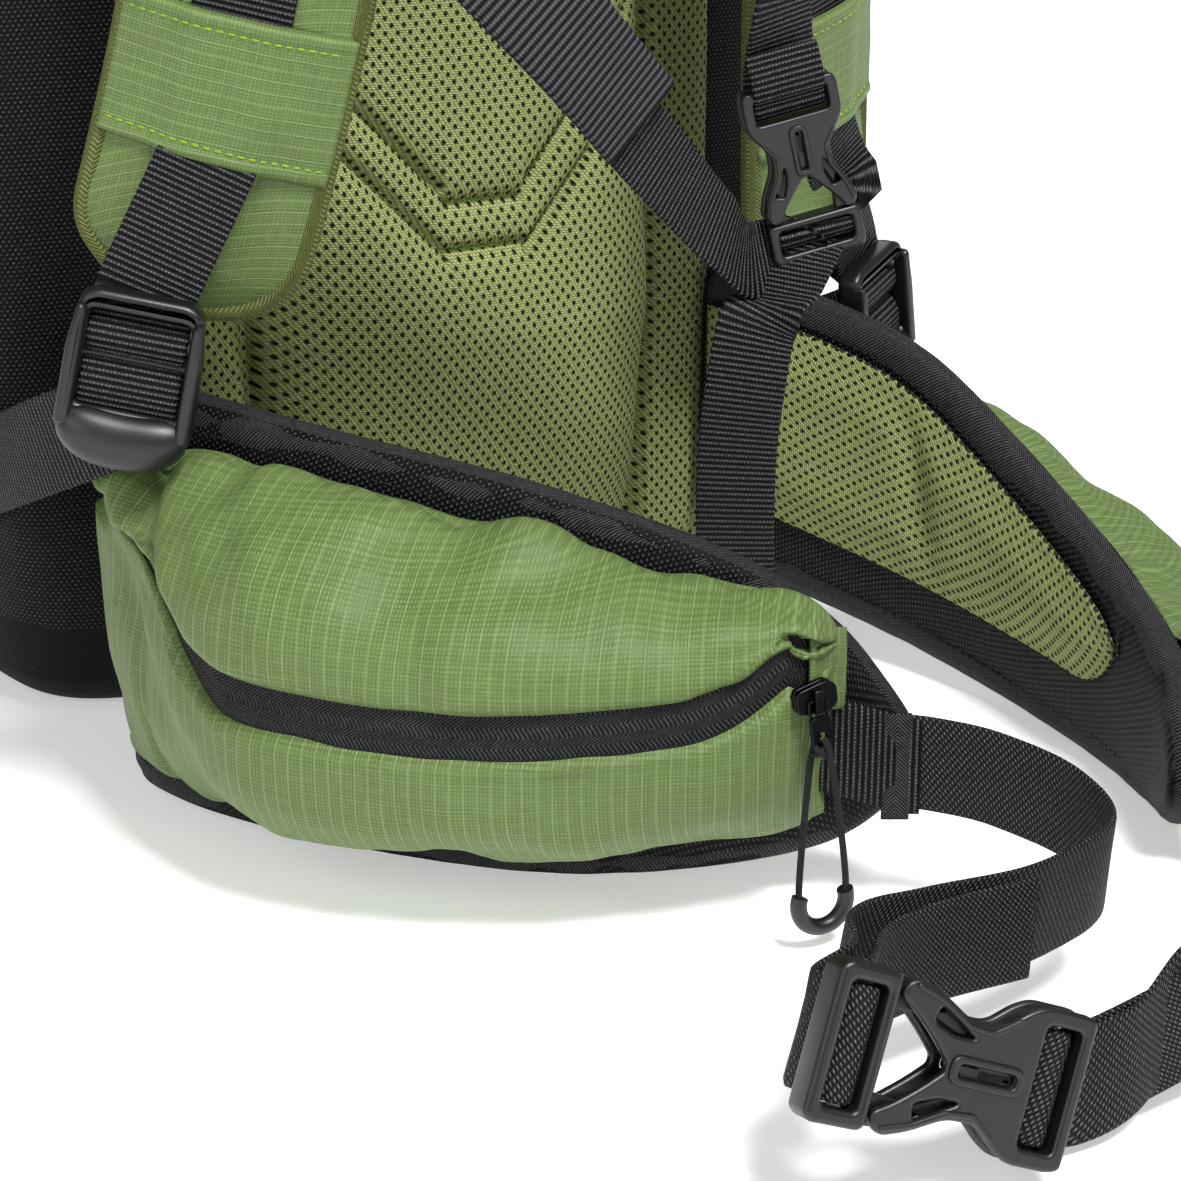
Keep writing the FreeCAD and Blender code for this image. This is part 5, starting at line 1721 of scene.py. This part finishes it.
def compression():
    """The straps that draw the sides in, with their slide buckles."""
    webs = []
    for side in (LEFT, RIGHT):
        for level in COMPRESSION_Z:
            y = np.linspace(-66, 62, 14)
            path = bag_side(side, y, level, 1.6)
            path[:, 0] = side * np.maximum(np.abs(path[:, 0]), 136.6)
            webs.append(webbing("compression_webbing", [tuple(p) + (0, 0, 1) for p in path], CHEST_WEB))
    obj = joined("compression_webbings", webs)
    piece(obj, WEBBING, "pack", "webbing", "compression_straps")
    parts = []
    outline = rounded([(-14, -13.4), (14, -13.4), (14, 13.4), (-14, 13.4)], 3)
    holes = [rounded([(x, -10.6), (x + 8, -10.6), (x + 8, 10.6), (x, 10.6)], 1.2) for x in (-10.2, 2.2)]
    for side in (LEFT, RIGHT):
        for level in COMPRESSION_Z:
            part = plate("slide", [outline] + holes, -2.0, 2.4, 0.9)
            away = max(abs(bag_side(side, 20.0, level, 1.6)[0]), 136.6)
            parts.append(put(part, (side * (away + 2.2), 20, level), (0, 1, 0), (side, 0, 0)))
    obj = joined("compression_slides", parts)
    edge_shading(obj)
    piece(obj, PLASTIC, "pack", "buckle_plastic", "compression_buckles")


def haul_loop():
    """The loop of webbing behind the lid."""
    half = [(-40, -108.0, 535.0), (-39, -120, 534.0), (-26, -136, 532.0)]
    rows = half + [(0, -141, 531.0)] + [(-x, y, z) for x, y, z in reversed(half)]
    obj = webbing("haul_loop_webbing", [r + (0, 0, 1) for r in rows], 14.0, 3.0)
    piece(obj, WEBBING, "haul_body", "webbing", "haul_loop")


def corner_tabs():
    """The cloth tabs that hold the lower webbings to the bag's sides."""
    parts = []
    for side in (LEFT, RIGHT):
        corners = np.array([[(0, -100, 88), (0, -52, 72)], [(0, -96, 60), (0, -56, 47)]], float)
        f = np.linspace(0, 1, 10)
        top = corners[0, 0] * (1 - f)[:, None] + corners[0, 1] * f[:, None]
        low = corners[1, 0] * (1 - f)[:, None] + corners[1, 1] * f[:, None]
        points = top[None] * (1 - f)[:, None, None] + low[None] * f[:, None, None]
        points[..., 0] = side * 137.0
        parts.append(grid("tab", points, outward=False))
    obj = joined("corner_tabs", parts)
    thicken(obj, 1.6)
    piece(obj, BALLISTIC, "pack", "bag_nylon", "strap_tabs")


def carried_over():
    """CAD pieces that are shown as they are, with a finish of their own."""
    looks = {"frame_sheet": SHEET_PLASTIC, "frame_stays": ALUMINIUM, "cord_lock_body": PLASTIC,
             "cord_lock_button": PLASTIC, "cord_lock_spring": STEEL, "drawcord": CORD}
    for node, material in looks.items():
        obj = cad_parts[node]
        obj.data.materials.clear()
        obj.data.materials.append(material)
        for polygon in obj.data.polygons:
            polygon.material_index = 0
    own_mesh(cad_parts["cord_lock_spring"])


def bag():
    bag_body()
    base()
    collar()
    lid()
    lid_hinge_cloth()
    straight_zip("lid_zip", "lid_slider", "lid_pull", "lid_body", "lid_slider_body", "lid_pull_body")
    front_pocket()
    straight_zip("front_zip", "front_slider", "front_pull", "pack", "front_slider_body", "front_pull_body")
    lid_strap()
    for side in (LEFT, RIGHT):
        side_pocket(side)
    compression()
    haul_loop()
    corner_tabs()
    carried_over()


# Stage, light and camera

def stage():
    """A pale floor, an even sky and three soft lights."""
    material = bpy.data.materials.new("pale floor")
    material.use_nodes = True
    shader = material.node_tree.nodes["Principled BSDF"]
    shader.inputs["Base Color"].default_value = (0.94, 0.94, 0.94, 1)
    shader.inputs["Roughness"].default_value = 0.9
    shader.inputs["Emission Color"].default_value = (1, 1, 1, 1)
    shader.inputs["Emission Strength"].default_value = 0.40
    mesh = bpy.data.meshes.new("floor")
    mesh.from_pydata([(-6, -6, 0), (6, -6, 0), (6, 6, 0), (-6, 6, 0)], [], [(0, 1, 2, 3)])
    mesh.materials.append(material)
    floor = linked("floor", mesh)
    floor.location.z = -0.0005
    world = bpy.data.worlds.new("studio")
    world.use_nodes = True
    world.node_tree.nodes["Background"].inputs[0].default_value = (1, 1, 1, 1)
    world.node_tree.nodes["Background"].inputs[1].default_value = 0.25
    bpy.context.scene.world = world
    aim = Vector((0, -0.15, 0.2))
    for name, at, size, power in (("key", (0.05, -1.5, 2.05), 0.6, 80), ("fill", (-1.7, -1.1, 0.9), 1.4, 14),
                                  ("rim", (0.8, 1.8, 1.9), 1.2, 16)):
        light = bpy.data.lights.new(name, "AREA")
        light.size = size
        light.energy = power
        obj = linked(name, light)
        obj.location = at
        obj.rotation_euler = (aim - Vector(at)).to_track_quat("-Z", "Y").to_euler()


def camera():
    """A camera in front of the wearer's side, a little to the left and above."""
    data = bpy.data.cameras.new("camera")
    data.lens = 96.2
    data.sensor_width = 36.0
    data.clip_start = 0.01
    obj = linked("camera", data)
    azimuth, elevation = math.radians(30), math.radians(20)
    ahead = Vector((math.sin(azimuth) * math.cos(elevation), math.cos(azimuth) * math.cos(elevation),
                    -math.sin(elevation)))
    obj.location = Vector((-0.407, -0.902, 0.345))
    obj.rotation_euler = ahead.to_track_quat("-Z", "Y").to_euler()
    scene = bpy.context.scene
    scene.camera = obj
    scene.view_settings.view_transform = "Standard"


hip_belt()
harness()
back_pad()
bag()
stage()
camera()
